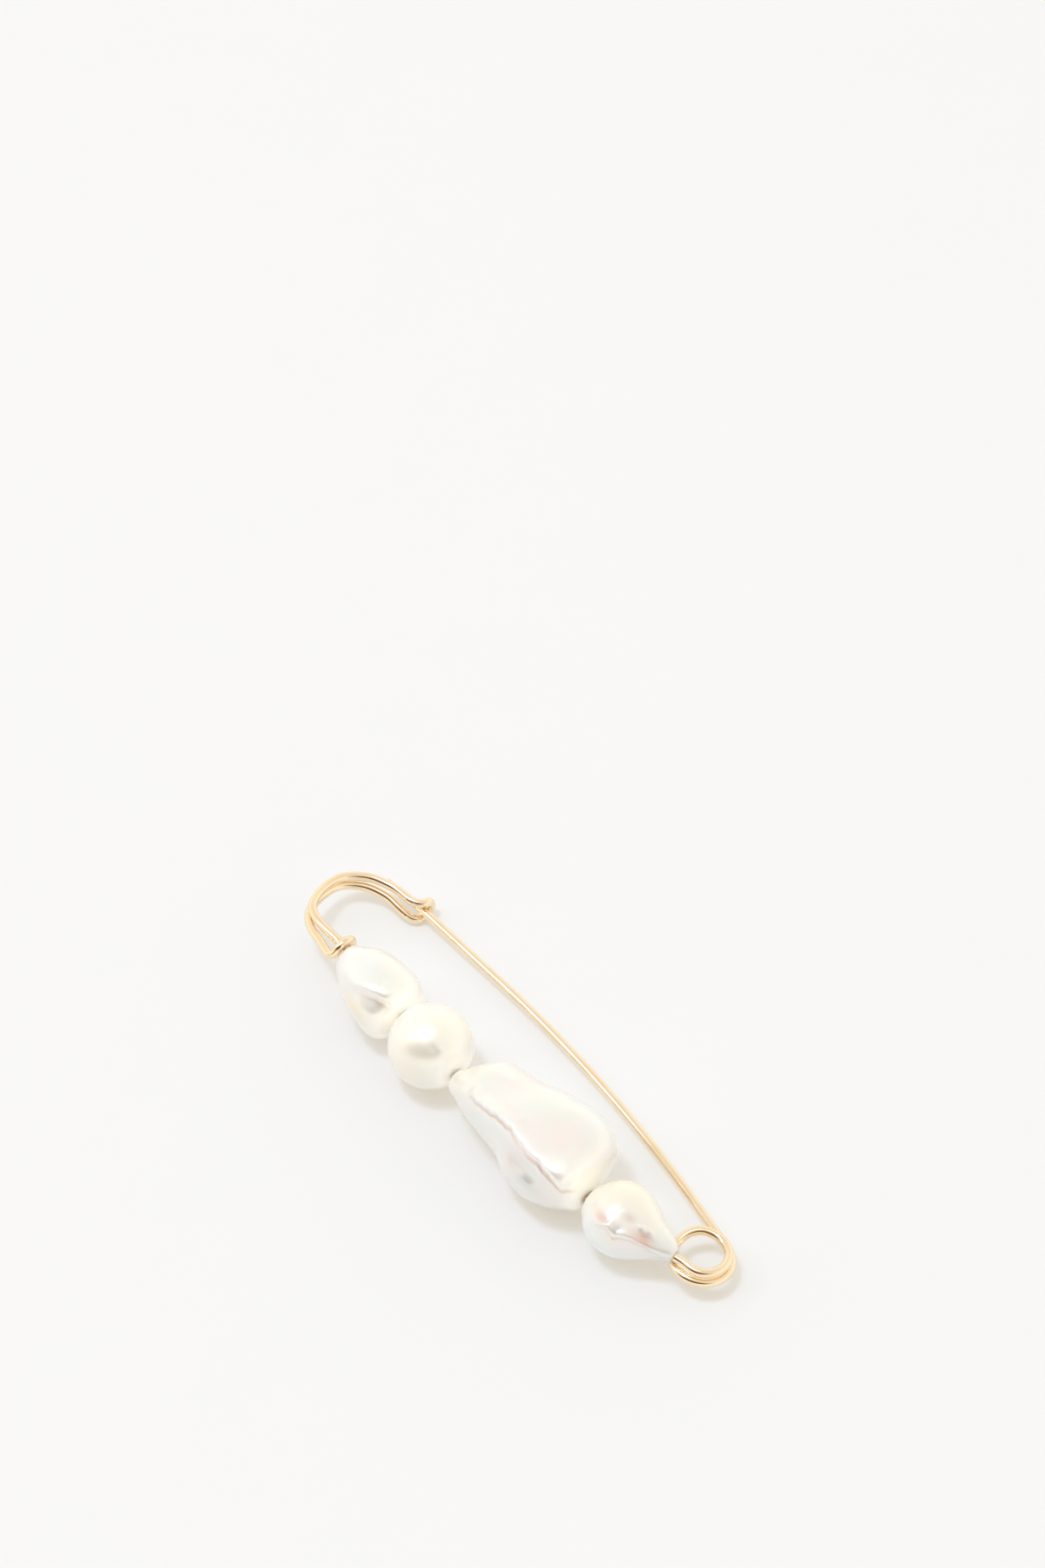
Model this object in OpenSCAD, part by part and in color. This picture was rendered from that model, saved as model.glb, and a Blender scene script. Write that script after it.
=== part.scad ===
/* [Wire] */
// Diameter of the gold wire
wire_d = 1.0; // [0.8:0.05:1.1]
// Gap left between turns and strands of the wire
strand_gap = 0.04; // [0.03:0.01:0.1]
// Gap at the two joints where the coil meets the bar and the pin
joint_gap = 0.04; // [0.03:0.01:0.06]

/* [Bar] */
// Angle at which the bar leaves the coil, outwards
bar_coil_angle = 15; // [10:1:20]
// Angle at which the bar comes back in to the head
bar_head_angle = 6; // [2:1:10]
// Length of bar between the wrapped tail and the start of the head
head_room = 0.3; // [0.2:0.1:1.5]

/* [Coil] */
// Radius of the coil's centreline where the bar runs in
coil_start_r = 2.76; // [2.4:0.02:3.2]
// How much that radius grows by the time the pin runs out
coil_growth = 0.65; // [0.4:0.05:0.9]
// Gap between the coil's two turns, where the drop pearl's tip lies over the second one
turn_gap = 0.18; // [0.16:0.01:0.3]

/* [Pin arm] */
// Distance of the straight stretch of the pin from the coil's centre, across
arm_offset = 8.55; // [8:0.05:10]
// Angle at which the pin leaves the coil, outwards
arm_coil_angle = 12.5; // [10:0.5:14]
// Radius of the pin's bow
arm_bow_r = 155; // [100:5:160]
// Length of the point past the catch's eye
tip_past_eye = 5.6; // [4:0.1:7]
// Length over which the pin is ground to a point
point_length = 6.5; // [5:0.5:10]
// Diameter left at the very point
point_d = 0.2; // [0.1:0.05:0.4]

/* [Head] */
// How far the head reaches beyond the catch's eye
head_reach = 8.1; // [7:0.1:10]
// How far the eye stands back from the head end of the bar
eye_setback = 1.3; // [0.8:0.05:2]
// Room between the pin and the turn of the eye
eye_slack = 0.2; // [0.1:0.05:0.4]

/* [Pearls] */
// Gap along the bar between neighbouring pearls
pearl_gap = 0.2; // [0.2:0.02:0.4]
// How much wider the drilled holes are than the wire, besides the room its bow needs
bore_clearance = 0.15; // [0.1:0.01:0.2]
// Distance along the bar from the coil to the drop pearl's tip
tip_room = 0.45; // [0.4:0.05:0.8]
// Length of the oval baroque pearl
oval_length = 10.1; // [9:0.1:11]
// Half the width of the oval baroque pearl
oval_half_width = 4; // [3.6:0.1:4.4]
// Diameter of the round pearl
round_d = 9.1; // [8:0.1:9.8]
// Length of the large baroque pearl
large_length = 19.85; // [18:0.05:22]
// Half the width of the large baroque pearl
large_half_width = 5.9; // [5.2:0.1:6.4]
// Length of the drop pearl
drop_length = 10.95; // [10:0.05:12]
// Half the width of the drop pearl
drop_half_width = 4; // [3.6:0.1:4.4]

/* [How it lies] */
// Tilt about the bar, pin side down, when it rests
rest_tilt = 11.5; // [10:0.5:13]
// Tilt along the bar, coil end down, when it rests
rest_pitch = 0.9; // [0.5:0.1:1.5]

/* [Hidden] */

gold = "#d9a866";
cream = "#efe6d2";
white = "#ecebe8";

// Sides of the wire, and rings along its stretches
wire_sides = 12;
bar_rings = 22;
arch_steps = 2;
eye_rings = 7;
coil_ring_deg = 15;
bow_rings = 10;
pearl_sides = 24;
pearl_steps = 2;

// Strands that touch on the real pin are this far apart, centre to centre
strand_pitch = wire_d + strand_gap;
face_gap = joint_gap / 2;

// Coil: the second turn lies below the first and outside it
coil_start_angle = -90 - bar_coil_angle;
coil_end_r = coil_start_r + coil_growth;
// The radius grows with the cube of the turn, so the coil's end already runs outwards by this angle
run_out_angle = atan(3 * coil_growth / (coil_end_r * 3 * PI));
coil_turn = 540 + bar_coil_angle - arm_coil_angle + run_out_angle;
coil_level = -wire_d - turn_gap;
// The coil starts on the bar's heading and eases into its circle over this turn
lead_turn = 60;
lead_slope = coil_start_r * tan(2 * bar_coil_angle) * PI / 180;
// The first turn is flat until it has passed this far over the pin's start. Then it drops, below the drop
// pearl's tip
past_pin_turn = 50;
drop_from = coil_turn - 360 + past_pin_turn;
drop_to = 330;

// Bar: the pearls are strung on it from the coil, then the tail is wrapped round it
wrap_length = 1.75 * wire_d;
string_length = tip_room + drop_length + large_length + round_d + oval_length
    + 3 * pearl_gap + strand_gap + wrap_length + head_room;
bar_arc_share = 1 + (pow(tan(bar_coil_angle), 2) + pow(tan(bar_head_angle), 2)) / 15;
bar_span = string_length / bar_arc_share;
bar_start = coil_start_r * [cos(coil_start_angle), sin(coil_start_angle)];
bar_end = bar_start - [bar_span, 0];

// Catch: the eye stands over the straight stretch of the pin
eye_u = bar_end[0] + eye_setback;
eye_level = -strand_pitch;
eye_v = arm_offset + eye_slack;
tip_u = eye_u - tip_past_eye;
head_width = arm_offset - bar_end[1];

// Head arch from the bar to the eye. along is a share of head_reach beyond the eye,
// across is a share of head_width from the bar
//   along, across
arch_rows = [
    [0.360, 0.000],
    [0.540, 0.008],
    [0.700, 0.036],
    [0.830, 0.098],
    [0.925, 0.215],
    [0.980, 0.350],
    [1.000, 0.475],
    [0.985, 0.575],
    [0.930, 0.665],
    [0.840, 0.747],
    [0.730, 0.815],
    [0.600, 0.862],
    [0.450, 0.900],
    [0.290, 0.915],
    [0.170, 0.922],
    [0.075, 0.945],
    [0.020, 0.985],
];

// The doubled strand that goes back from the eye to the bar, against the first one.
// along is a share of the arch from the eye, out and drop are in wire diameters
//   along, out, drop
tail_rows = [
    [0.050, -0.30, 2.05],
    [0.120, -0.46, 1.92],
    [0.200, -0.50, 1.60],
    [0.290, -0.50, 1.25],
    [0.400, -0.46, 1.06],
    [0.500, -0.34, 1.03],
    [0.600, -0.12, 1.03],
    [0.700, 0.00, 1.03],
    [0.765, 0.15, 1.02],
    [0.825, 0.42, 0.94],
    [0.885, 0.82, 0.80],
    [0.945, 1.15, 0.68],
    [1.000, 1.62, 0.58],
];

// The tail's wrap round the bar. around is an angle about the bar, from the pin side over the top,
// away is from the bar's centreline and on is along the bar towards the pearls, in wire diameters
//   around, away, on
wrap_rows = [
    [198, 1.79, 0.39],
    [196, 1.68, 0.79],
    [188, 1.46, 1.08],
    [173, 1.24, 1.19],
    [136, 1.14, 1.22],
    [92, 1.07, 1.22],
    [48, 1.07, 1.22],
    [4, 1.07, 1.22],
    [-40, 1.07, 1.20],
    [-84, 1.07, 1.18],
    [-118, 1.07, 1.15],
];

// Sections of the baroque pearls, square to their drill hole, from the head towards the coil. along is a
// share of the length. The next four are distances from the hole to the surface as shares of the half
// width, a quarter turn apart: inner faces up and to the pin, face up and outwards, outer down and
// outwards, under down and to the pin. crest is the height of the ridge as a share of the half width, and
// at is its angle from inner. The sections are turned about the hole by section_turn, and the ridge falls
// away over crest_spread degrees
section_turn = 36;
crest_spread = 16;
//   along, inner, face, outer, under, crest, at
oval_rows = [
    [0.000, 0.21, 0.21, 0.21, 0.21, 0.00, 116],
    [0.015, 0.28, 0.36, 0.40, 0.32, 0.00, 116],
    [0.080, 0.42, 0.60, 0.56, 0.56, 0.01, 116],
    [0.250, 0.70, 0.86, 0.77, 0.88, 0.03, 115],
    [0.400, 0.84, 0.92, 0.93, 1.04, 0.06, 112],
    [0.550, 0.91, 0.94, 1.02, 1.19, 0.07, 106],
    [0.720, 0.92, 0.93, 1.07, 1.25, 0.05, 98],
    [0.880, 0.83, 0.84, 1.03, 1.08, 0.02, 93],
    [0.975, 0.60, 0.58, 0.82, 0.72, 0.00, 90],
    [1.000, 0.24, 0.24, 0.24, 0.24, 0.00, 90],
];
large_rows = [
    [0.000, 0.17, 0.17, 0.17, 0.17, 0.00, 90],
    [0.020, 0.22, 0.24, 0.26, 0.26, 0.00, 90],
    [0.080, 0.53, 0.34, 0.31, 0.46, 0.01, 90],
    [0.160, 0.82, 0.45, 0.38, 0.58, 0.03, 92],
    [0.280, 0.91, 0.55, 0.44, 0.67, 0.05, 96],
    [0.380, 0.95, 0.63, 0.49, 0.72, 0.06, 91],
    [0.480, 1.07, 0.70, 0.57, 0.75, 0.06, 97],
    [0.600, 1.18, 0.77, 0.70, 0.80, 0.07, 100],
    [0.740, 1.25, 0.81, 0.73, 0.82, 0.07, 95],
    [0.860, 1.18, 0.78, 0.60, 0.78, 0.05, 85],
    [0.940, 0.97, 0.65, 0.42, 0.66, 0.02, 78],
    [0.985, 0.60, 0.42, 0.30, 0.40, 0.00, 75],
    [1.000, 0.16, 0.16, 0.16, 0.16, 0.00, 75],
];
drop_rows = [
    [0.000, 0.19, 0.19, 0.19, 0.19, 0.00, 112],
    [0.030, 0.42, 0.42, 0.42, 0.42, 0.00, 112],
    [0.140, 0.82, 0.74, 0.74, 0.80, 0.02, 112],
    [0.300, 1.03, 0.89, 0.93, 0.99, 0.05, 110],
    [0.460, 1.02, 0.88, 0.93, 0.97, 0.07, 104],
    [0.620, 0.83, 0.73, 0.76, 0.76, 0.05, 98],
    [0.760, 0.61, 0.55, 0.50, 0.42, 0.03, 96],
    [0.890, 0.45, 0.38, 0.28, 0.20, 0.02, 94],
    [0.975, 0.32, 0.27, 0.19, 0.175, 0.00, 92],
    [1.000, 0.22, 0.20, 0.18, 0.175, 0.00, 92],
];

// Rest: the pin's side is down on the eye, and the coil end hangs clear on the pearls
lift = strand_pitch * 2 * cos(rest_tilt) + wire_d / 2 + eye_v * sin(rest_tilt) + eye_u * sin(rest_pitch);
length_mid = (eye_u - head_reach + coil_end_r) / 2;
width_mid = -0.35;

// Vectors, splines and sweeps
function unit(v) = v / norm(v);
function curve(p, q, r, s, t) = 0.5 * (2 * q + (r - p) * t + (2 * p - 5 * q + 4 * r - s) * t * t
    + (3 * q - p - 3 * r + s) * t * t * t);
function spline(points, steps) = [
    for (i = [0:len(points) - 2])
        for (k = [0:steps - 1])
            curve(points[max(i - 1, 0)], points[i], points[i + 1],
                  points[min(i + 2, len(points) - 1)], k / steps),
    points[len(points) - 1]
];
function headings(path, first, last) = [
    unit(first),
    for (i = [1:len(path) - 2]) unit(path[i + 1] - path[i - 1]),
    unit(last)
];
function squared(side, heading) = unit(side - (side * heading) * heading);
function carried(heading_list) = [
    for (i = 0, side = squared([0.1, 0.2, 1], heading_list[0]);
         i < len(heading_list);
         i = i + 1, side = squared(side, heading_list[min(i, len(heading_list) - 1)])) side
];
function ring_of(centre, side, heading, radius) = [
    for (k = [0:wire_sides - 1])
        let (a = 360 * k / wire_sides)
            centre + radius * (cos(a) * side + sin(a) * cross(heading, side))
];

module skin(rings) {
    sides = len(rings[0]);
    last = len(rings) - 1;
    points = [for (ring = rings) for (p = ring) p];
    polyhedron(points, [
        [for (k = [0:sides - 1]) k],
        for (i = [0:last - 1])
            for (k = [0:sides - 1])
                let (a = i * sides + k, b = i * sides + (k + 1) % sides)
                    each [[a, a + sides, b], [b, a + sides, b + sides]],
        [for (k = [sides - 1:-1:0]) last * sides + k]
    ]);
}

module wire(path, radii, first, last) {
    heading_list = headings(path, first, last);
    side_list = carried(heading_list);
    skin([for (i = [0:len(path) - 1]) ring_of(path[i], side_list[i], heading_list[i], radii[i])]);
}

module even_wire(path, first, last) {
    wire(path, [for (p = path) wire_d / 2], first, last);
}

// Routes of the wire, in the plane of the frame: u along the bar, v across to the pin, level above
// the bar
function bar_at(t) = bar_start + [
    -bar_span * t,
    -bar_span * (tan(bar_coil_angle) * t * pow(1 - t, 2) + tan(bar_head_angle) * t * t * (1 - t))
];
// The share of the bar that is a straight distance from another share, by halving the stretch it is in
halvings = 24;
past_end = 1.2;
function bar_share(from, distance, low, high, tries) = tries == 0 ? (low + high) / 2
    : let (mid = (low + high) / 2)
        norm(bar_at(mid) - bar_at(from)) < distance
            ? bar_share(from, distance, mid, high, tries - 1)
            : bar_share(from, distance, low, mid, tries - 1);
function bar_from(from, distance) = bar_share(from, distance, from, past_end, halvings);
function level_with(p, level) = [p[0], p[1], level];
bar_heading = [-cos(bar_coil_angle), -sin(bar_coil_angle), 0];

function arch_point(row) = [eye_u - row[0] * head_reach, bar_end[1] + row[1] * head_width, 0];
arch_path = spline(concat(
    [level_with(bar_end, 0)],
    [for (row = arch_rows) arch_point(row)],
    [[eye_u, eye_v, 0]]
), arch_steps);

eye_path = [
    for (i = [1:eye_rings - 1])
        let (a = 180 * i / eye_rings)
            [eye_u, eye_v + strand_pitch * sin(a), eye_level + strand_pitch * cos(a)]
];

function along_arch(share) =
    let (i = min(share * (len(arch_path) - 1), len(arch_path) - 1.0001), k = floor(i))
        arch_path[k] + (arch_path[k + 1] - arch_path[k]) * (i - k);
function arch_out(share) =
    let (d = unit(along_arch(min(share + 0.01, 1)) - along_arch(max(share - 0.01, 0))))
        [-d[1], d[0], 0];
tail_points = [
    for (row = tail_rows)
        along_arch(1 - row[0]) + arch_out(1 - row[0]) * row[1] * wire_d - [0, 0, row[2] * strand_pitch]
];

wrap_start = bar_from(0, string_length - head_room - wrap_length);
function wrap_point(row) =
    let (p = bar_at(wrap_start + (wrap_length - row[2] * wire_d) / bar_span))
        [p[0], p[1] + cos(row[0]) * row[1] * wire_d, sin(row[0]) * row[1] * wire_d];
tail_path = spline(concat(
    [[eye_u, eye_v, 2 * eye_level]],
    tail_points,
    [for (row = wrap_rows) wrap_point(row)]
), 2);

frame_path = concat(
    [level_with(bar_at(face_gap / bar_span), 0)],
    [for (i = [1:bar_rings - 1]) level_with(bar_at(i / bar_rings), 0)],
    arch_path,
    eye_path,
    tail_path
);
tail_heading = tail_path[len(tail_path) - 1] - tail_path[len(tail_path) - 2];

function coil_point(turned) =
    let (
        a = coil_start_angle + turned,
        lead = max(0, 1 - turned / lead_turn),
        r = coil_start_r + coil_growth * pow(turned / coil_turn, 3) - lead_slope * turned * lead * lead,
        s = max(0, min(1, (turned - drop_from) / (drop_to - drop_from)))
    )
        [r * cos(a), r * sin(a), coil_level * s * s * (3 - 2 * s)];
coil_gap_deg = face_gap / coil_start_r * 180 / PI;
coil_rings = ceil(coil_turn / coil_ring_deg);
coil_path = [
    for (i = [0:coil_rings])
        coil_point(coil_gap_deg + (coil_turn - 2 * coil_gap_deg) * i / coil_rings)
];

// Pin arm: straight out of the coil, a bow, then straight to the point, rising a little to the level of
// the eye
arm_start = coil_end_r * [cos(coil_start_angle + coil_turn), sin(coil_start_angle + coil_turn)];
arm_heading = [-cos(arm_coil_angle), sin(arm_coil_angle), 0];
bow_rise = arm_bow_r * (1 - cos(arm_coil_angle));
run_out = (arm_offset - arm_start[1] - bow_rise) / sin(arm_coil_angle);
bow_start = arm_start + run_out * [-cos(arm_coil_angle), sin(arm_coil_angle)];
bow_centre = bow_start - arm_bow_r * [sin(arm_coil_angle), cos(arm_coil_angle)];
point_start = tip_u + point_length;
point_lead = 4;
point_taper = 1.3;
arm_flat = concat(
    [arm_start + (bow_start - arm_start) * face_gap / run_out, (arm_start + bow_start) / 2],
    [for (i = [0:bow_rings])
        let (a = arm_coil_angle * (1 - i / bow_rings)) bow_centre + arm_bow_r * [sin(a), cos(a)]],
    [for (u = [point_start + point_lead, point_start, tip_u + point_length / 2, tip_u]) [u, arm_offset]]
);
function arm_level(u) =
    let (gone = max(0, arm_start[0] - face_gap - u) / (arm_start[0] - eye_u))
        coil_level + (eye_level - coil_level) * gone;
arm_path = [for (p = arm_flat) level_with(p, arm_level(p[0]))];
arm_radii = [
    for (p = arm_flat)
        let (ground = max(0, min(1, (point_start - p[0]) / point_length)))
            (wire_d + (point_d - wire_d) * pow(ground, point_taper)) / 2
];

// Where each pearl sits on the bar
drop_span = [bar_from(0, tip_room), bar_from(0, tip_room + drop_length)];
large_near = bar_from(drop_span[1], pearl_gap);
large_span = [large_near, bar_from(large_near, large_length)];
round_near = bar_from(large_span[1], pearl_gap);
round_span = [round_near, bar_from(round_near, round_d)];
oval_near = bar_from(round_span[1], pearl_gap);
oval_span = [oval_near, bar_from(oval_near, oval_length)];

// How far the bar bows, across, from a straight line between two shares of it
function bow_of(span) =
    bar_at((span[0] + span[1]) / 2)[1] - (bar_at(span[0])[1] + bar_at(span[1])[1]) / 2;

// Puts a piece made along Z on the bar, between two shares of the bar, with its top to the coil. Half the
// bar's bow lies on each side of its hole's axis
module strung(span) {
    first = bar_at(span[1]) + [0, bow_of(span) / 2];
    heading = bar_at(span[0]) - bar_at(span[1]);
    translate(level_with(first, 0))
        rotate([0, 0, atan2(heading[1], heading[0])])
            rotate([90, 0, 90])
                children();
}

module bore(length, span) {
    translate([0, 0, -length / 2])
        cylinder(d = wire_d + bore_clearance + abs(bow_of(span)), h = 2 * length, $fn = 32);
}

// Distance from the hole to the surface at an angle, between the four sides of a section, with its ridge
function side_at(row, a) =
    let (q = floor(a / 90), b = a - 90 * q, first = row[1 + q % 4], second = row[1 + (q + 1) % 4])
        first * second / sqrt(pow(second * cos(b), 2) + pow(first * sin(b), 2))
            + row[5] * exp(-pow((a - row[6]) / crest_spread, 2));

module baroque(rows, length, half_width, span) {
    sections = spline(rows, pearl_steps);
    strung(span)
        difference() {
            skin([
                for (row = sections)
                    [for (k = [0:pearl_sides - 1])
                        let (
                            a = 360 * k / pearl_sides,
                            b = a + section_turn,
                            r = half_width * side_at(row, a)
                        )
                            [r * cos(b), r * sin(b), row[0] * length]]
            ]);
            bore(length, span);
        }
}

module lying() {
    translate([-length_mid, width_mid, lift])
        rotate([-rest_tilt, rest_pitch, 0])
            children();
}

module frame_wire() {
    color(gold)
        lying() even_wire(frame_path, bar_heading, tail_heading);
}

module spring_coil() {
    color(gold)
        lying() even_wire(coil_path, -bar_heading, arm_heading);
}

module pin_arm() {
    color(gold)
        lying() wire(arm_path, arm_radii, arm_heading, [-1, 0, 0]);
}

module pearl_oval() {
    color(cream)
        lying() baroque(oval_rows, oval_length, oval_half_width, oval_span);
}

module pearl_round() {
    color(cream)
        lying() strung(round_span)
            difference() {
                translate([0, 0, round_d / 2]) sphere(d = round_d, $fn = 64);
                bore(round_d, round_span);
            }
}

module pearl_large() {
    color(white)
        lying() baroque(large_rows, large_length, large_half_width, large_span);
}

module pearl_drop() {
    color(white)
        lying() baroque(drop_rows, drop_length, drop_half_width, drop_span);
}

frame_wire();
spring_coil();
pin_arm();
pearl_oval();
pearl_round();
pearl_large();
pearl_drop();
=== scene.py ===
"""Gold safety pin brooch with four pearls: its wire, its pearls and the studio it lies in.

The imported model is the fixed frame. Every piece here is built in the same place, from the same named
sizes, with the finer shape that the solids leave out: the smooth wire, the folds of the baroque
pearls and their nacre.
"""

import logging
import math
from dataclasses import dataclass, field
from enum import Enum
from typing import Any, Callable, Iterable, Sequence

import bpy
import numpy as np
from mathutils import Matrix, Vector


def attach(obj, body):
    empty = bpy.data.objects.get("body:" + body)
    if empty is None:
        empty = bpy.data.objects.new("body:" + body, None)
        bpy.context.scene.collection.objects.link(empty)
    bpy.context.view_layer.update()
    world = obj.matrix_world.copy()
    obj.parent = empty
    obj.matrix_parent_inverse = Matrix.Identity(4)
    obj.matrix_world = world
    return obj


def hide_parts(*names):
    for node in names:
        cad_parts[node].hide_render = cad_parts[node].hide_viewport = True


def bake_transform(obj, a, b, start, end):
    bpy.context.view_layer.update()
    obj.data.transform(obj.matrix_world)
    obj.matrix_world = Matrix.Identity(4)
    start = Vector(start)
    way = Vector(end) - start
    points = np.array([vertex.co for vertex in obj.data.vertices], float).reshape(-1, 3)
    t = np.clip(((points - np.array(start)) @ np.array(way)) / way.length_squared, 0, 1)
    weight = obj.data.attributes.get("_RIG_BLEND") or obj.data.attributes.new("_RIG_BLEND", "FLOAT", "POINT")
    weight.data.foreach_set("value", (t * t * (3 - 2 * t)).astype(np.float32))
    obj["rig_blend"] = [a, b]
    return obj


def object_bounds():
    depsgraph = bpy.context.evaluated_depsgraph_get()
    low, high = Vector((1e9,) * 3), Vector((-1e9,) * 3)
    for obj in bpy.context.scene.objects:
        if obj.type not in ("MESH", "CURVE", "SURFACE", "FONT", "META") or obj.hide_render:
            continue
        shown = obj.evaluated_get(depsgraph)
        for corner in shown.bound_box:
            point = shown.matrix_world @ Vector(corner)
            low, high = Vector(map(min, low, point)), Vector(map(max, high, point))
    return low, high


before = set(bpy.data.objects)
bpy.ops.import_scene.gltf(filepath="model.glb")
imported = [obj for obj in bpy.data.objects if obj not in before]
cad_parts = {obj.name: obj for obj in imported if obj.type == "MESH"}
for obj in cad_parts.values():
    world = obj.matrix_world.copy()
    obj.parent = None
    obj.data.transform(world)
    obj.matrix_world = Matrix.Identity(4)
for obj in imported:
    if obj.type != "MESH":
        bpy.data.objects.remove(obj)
CAD_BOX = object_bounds()

LOG = logging.getLogger("brooch")
Array = np.ndarray
Colour = tuple[float, float, float]

MM = 0.001
FIRST_SIDE: tuple[float, float, float] = (0.1, 0.2, 1.0)
BEVEL_STEPS = 7
SMALLEST_RADIUS = 0.02
WAVE_SPREAD: tuple[float, float] = (0.6, 1.5)
BLACK: Colour = (0.0, 0.0, 0.0)
# The pearls' patch tints: the palest is painted light, the grey a painted reflection of the room's dark
# corner and the pink-brown painted shade; the others are the pearls' own tints.
PATCH_TINTS = ("painted_light", "cool", "leaf", "blush", "cream", "painted_dark_reflection", "shaded_groove")


class Slot(Enum):
    """The record's material slots."""

    GOLD = "gold_wire"
    CREAM = "pearl_cream"
    WHITE = "pearl_white"


class Body(Enum):
    """The bodies that pieces ride on."""

    FRAME = "frame"
    PIN = "pin"


# Curves and skins


def unit(v: Array) -> Array:
    """Return v at length one."""
    return v / np.linalg.norm(v)


def spline(points: Array, steps: int) -> Array:
    """Run a smooth curve through points.

    Args:
        points: The points it passes, one a row.
        steps: How many stretches each span between two points gets.

    Returns:
        The curve's points, the given ones among them.
    """
    p = np.asarray(points, float)
    padded = np.vstack([p[:1], p, p[-1:]])
    t = (np.arange(steps) / steps)[:, None]
    out = []
    for a, b, c, d in zip(padded, padded[1:], padded[2:], padded[3:]):
        square, cube = 2 * a - 5 * b + 4 * c - d, 3 * b - a - 3 * c + d
        out.append(0.5 * (2 * b + (c - a) * t + square * t**2 + cube * t**3))
    return np.vstack([*out, p[-1:]])


def lengths_along(route: Array) -> Array:
    """Return the distance along route at each of its points."""
    return np.concatenate([[0.0], np.cumsum(np.linalg.norm(np.diff(route, axis=0), axis=1))])


def even(route: Array, spacing: float) -> Array:
    """Return route with points spacing apart.

    Args:
        route: A route's points.
        spacing: The distance along it between two points of the result.

    Returns:
        The evenly spaced points.
    """
    s = lengths_along(route)
    at = np.linspace(0, s[-1], int(math.ceil(s[-1] / spacing)) + 1)
    return np.stack([np.interp(at, s, route[:, k]) for k in range(3)], axis=1)


def softened(route: Array, reach: float) -> Array:
    """Round off the small kinks of an evenly spaced route and keep its ends.

    Args:
        route: Evenly spaced points.
        reach: How far along the route a kink is spread.

    Returns:
        The softened route.
    """
    step = np.linalg.norm(route[1] - route[0])
    half = int(math.ceil(3 * reach / step))
    weights = np.exp(-0.5 * (np.arange(-half, half + 1) * step / reach) ** 2)
    weights /= weights.sum()
    before = 2 * route[0] - route[half:0:-1]
    after = 2 * route[-1] - route[-2 : -half - 2 : -1]
    padded = np.vstack([before, route, after])
    return np.stack([np.convolve(padded[:, k], weights, "valid") for k in range(3)], axis=1)


def headings(route: Array) -> Array:
    """Return the direction of route at each of its points."""
    d = np.gradient(route, axis=0)
    return d / np.linalg.norm(d, axis=1)[:, None]


def tube(route: Array, radii: Array, sides: int, ends: tuple[Array | None, Array | None]) -> Array:
    """Sweep a round section along a route without twist.

    Args:
        route: The centreline's points.
        radii: The section's radius at each of them.
        sides: How many points a section has.
        ends: The headings of the first and last section, where they are given.

    Returns:
        Rings of points, as an array of sections, sides and three coordinates.
    """
    heading = headings(route)
    for at, given in zip((0, -1), ends):
        if given is not None:
            heading[at] = unit(given)
    side = np.array(FIRST_SIDE)
    turn = 2 * np.pi * np.arange(sides) / sides
    rings = []
    for centre, way, radius in zip(route, heading, radii):
        side = unit(side - (side @ way) * way)
        other = np.cross(way, side)
        rings.append(centre + radius * (np.cos(turn)[:, None] * side + np.sin(turn)[:, None] * other))
    return np.array(rings)


def bevelled(route: Array, radii: Array, bevel: float) -> tuple[Array, Array]:
    """Round off the far end of a wire.

    Args:
        route: Its centreline.
        radii: Its radius at each point.
        bevel: The radius of the rounding.

    Returns:
        The new route and radii.
    """
    s = lengths_along(route)
    kept = s < s[-1] - bevel
    way = headings(route)[-1]
    base = np.array([np.interp(s[-1] - bevel, s, route[:, k]) for k in range(3)])
    a = np.linspace(0, math.pi / 2, BEVEL_STEPS)
    ends = base + way * bevel * np.sin(a)[:, None]
    small = np.interp(s[-1] - bevel, s, radii) - bevel * (1 - np.cos(a))
    return np.vstack([route[kept], ends]), np.concatenate([radii[kept], np.maximum(small, SMALLEST_RADIUS)])


def skin_faces(rings: int, sides: int, closed: bool) -> list[tuple[int, ...]]:
    """List the faces between rings of points.

    Args:
        rings: How many rings there are.
        sides: How many points each has.
        closed: Whether the last ring joins the first. Otherwise each end gets a flat cap.

    Returns:
        The faces, as indices of the points in ring order, outwards.
    """
    i = np.arange(rings if closed else rings - 1)[:, None]
    k = np.arange(sides)[None, :]
    nxt, beside = (i + 1) % rings, (k + 1) % sides
    quads = np.stack(
        [i * sides + k, i * sides + beside, nxt * sides + beside, nxt * sides + k], axis=-1
    ).reshape(-1, 4)
    faces = [tuple(q) for q in quads.tolist()]
    if not closed:
        faces.append(tuple(range(sides - 1, -1, -1)))
        faces.append(tuple((rings - 1) * sides + j for j in range(sides)))
    return faces


def shown(
    name: str, points: Array, faces: list[tuple[int, ...]], marks: dict[str, Array]
) -> bpy.types.Object:
    """Make a smooth shaded piece.

    Args:
        name: The piece's name.
        points: Its points in the row frame, in metres.
        faces: Its faces.
        marks: Values that its finish reads, one a point, by name.

    Returns:
        The piece, in the scene.
    """
    mesh = bpy.data.meshes.new(name)
    mesh.from_pydata(points.tolist(), [], faces)
    for key, values in marks.items():
        mark = mesh.attributes.new(key, "FLOAT", "POINT")
        mark.data.foreach_set("value", np.asarray(values, np.float32))
    mesh.shade_smooth()
    rims = {key for polygon in mesh.polygons if polygon.loop_total > 4 for key in polygon.edge_keys}
    for edge in mesh.edges:
        edge.use_edge_sharp = edge.key in rims
    mesh.update()
    piece = bpy.data.objects.new(name, mesh)
    bpy.context.scene.collection.objects.link(piece)
    return piece


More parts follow.
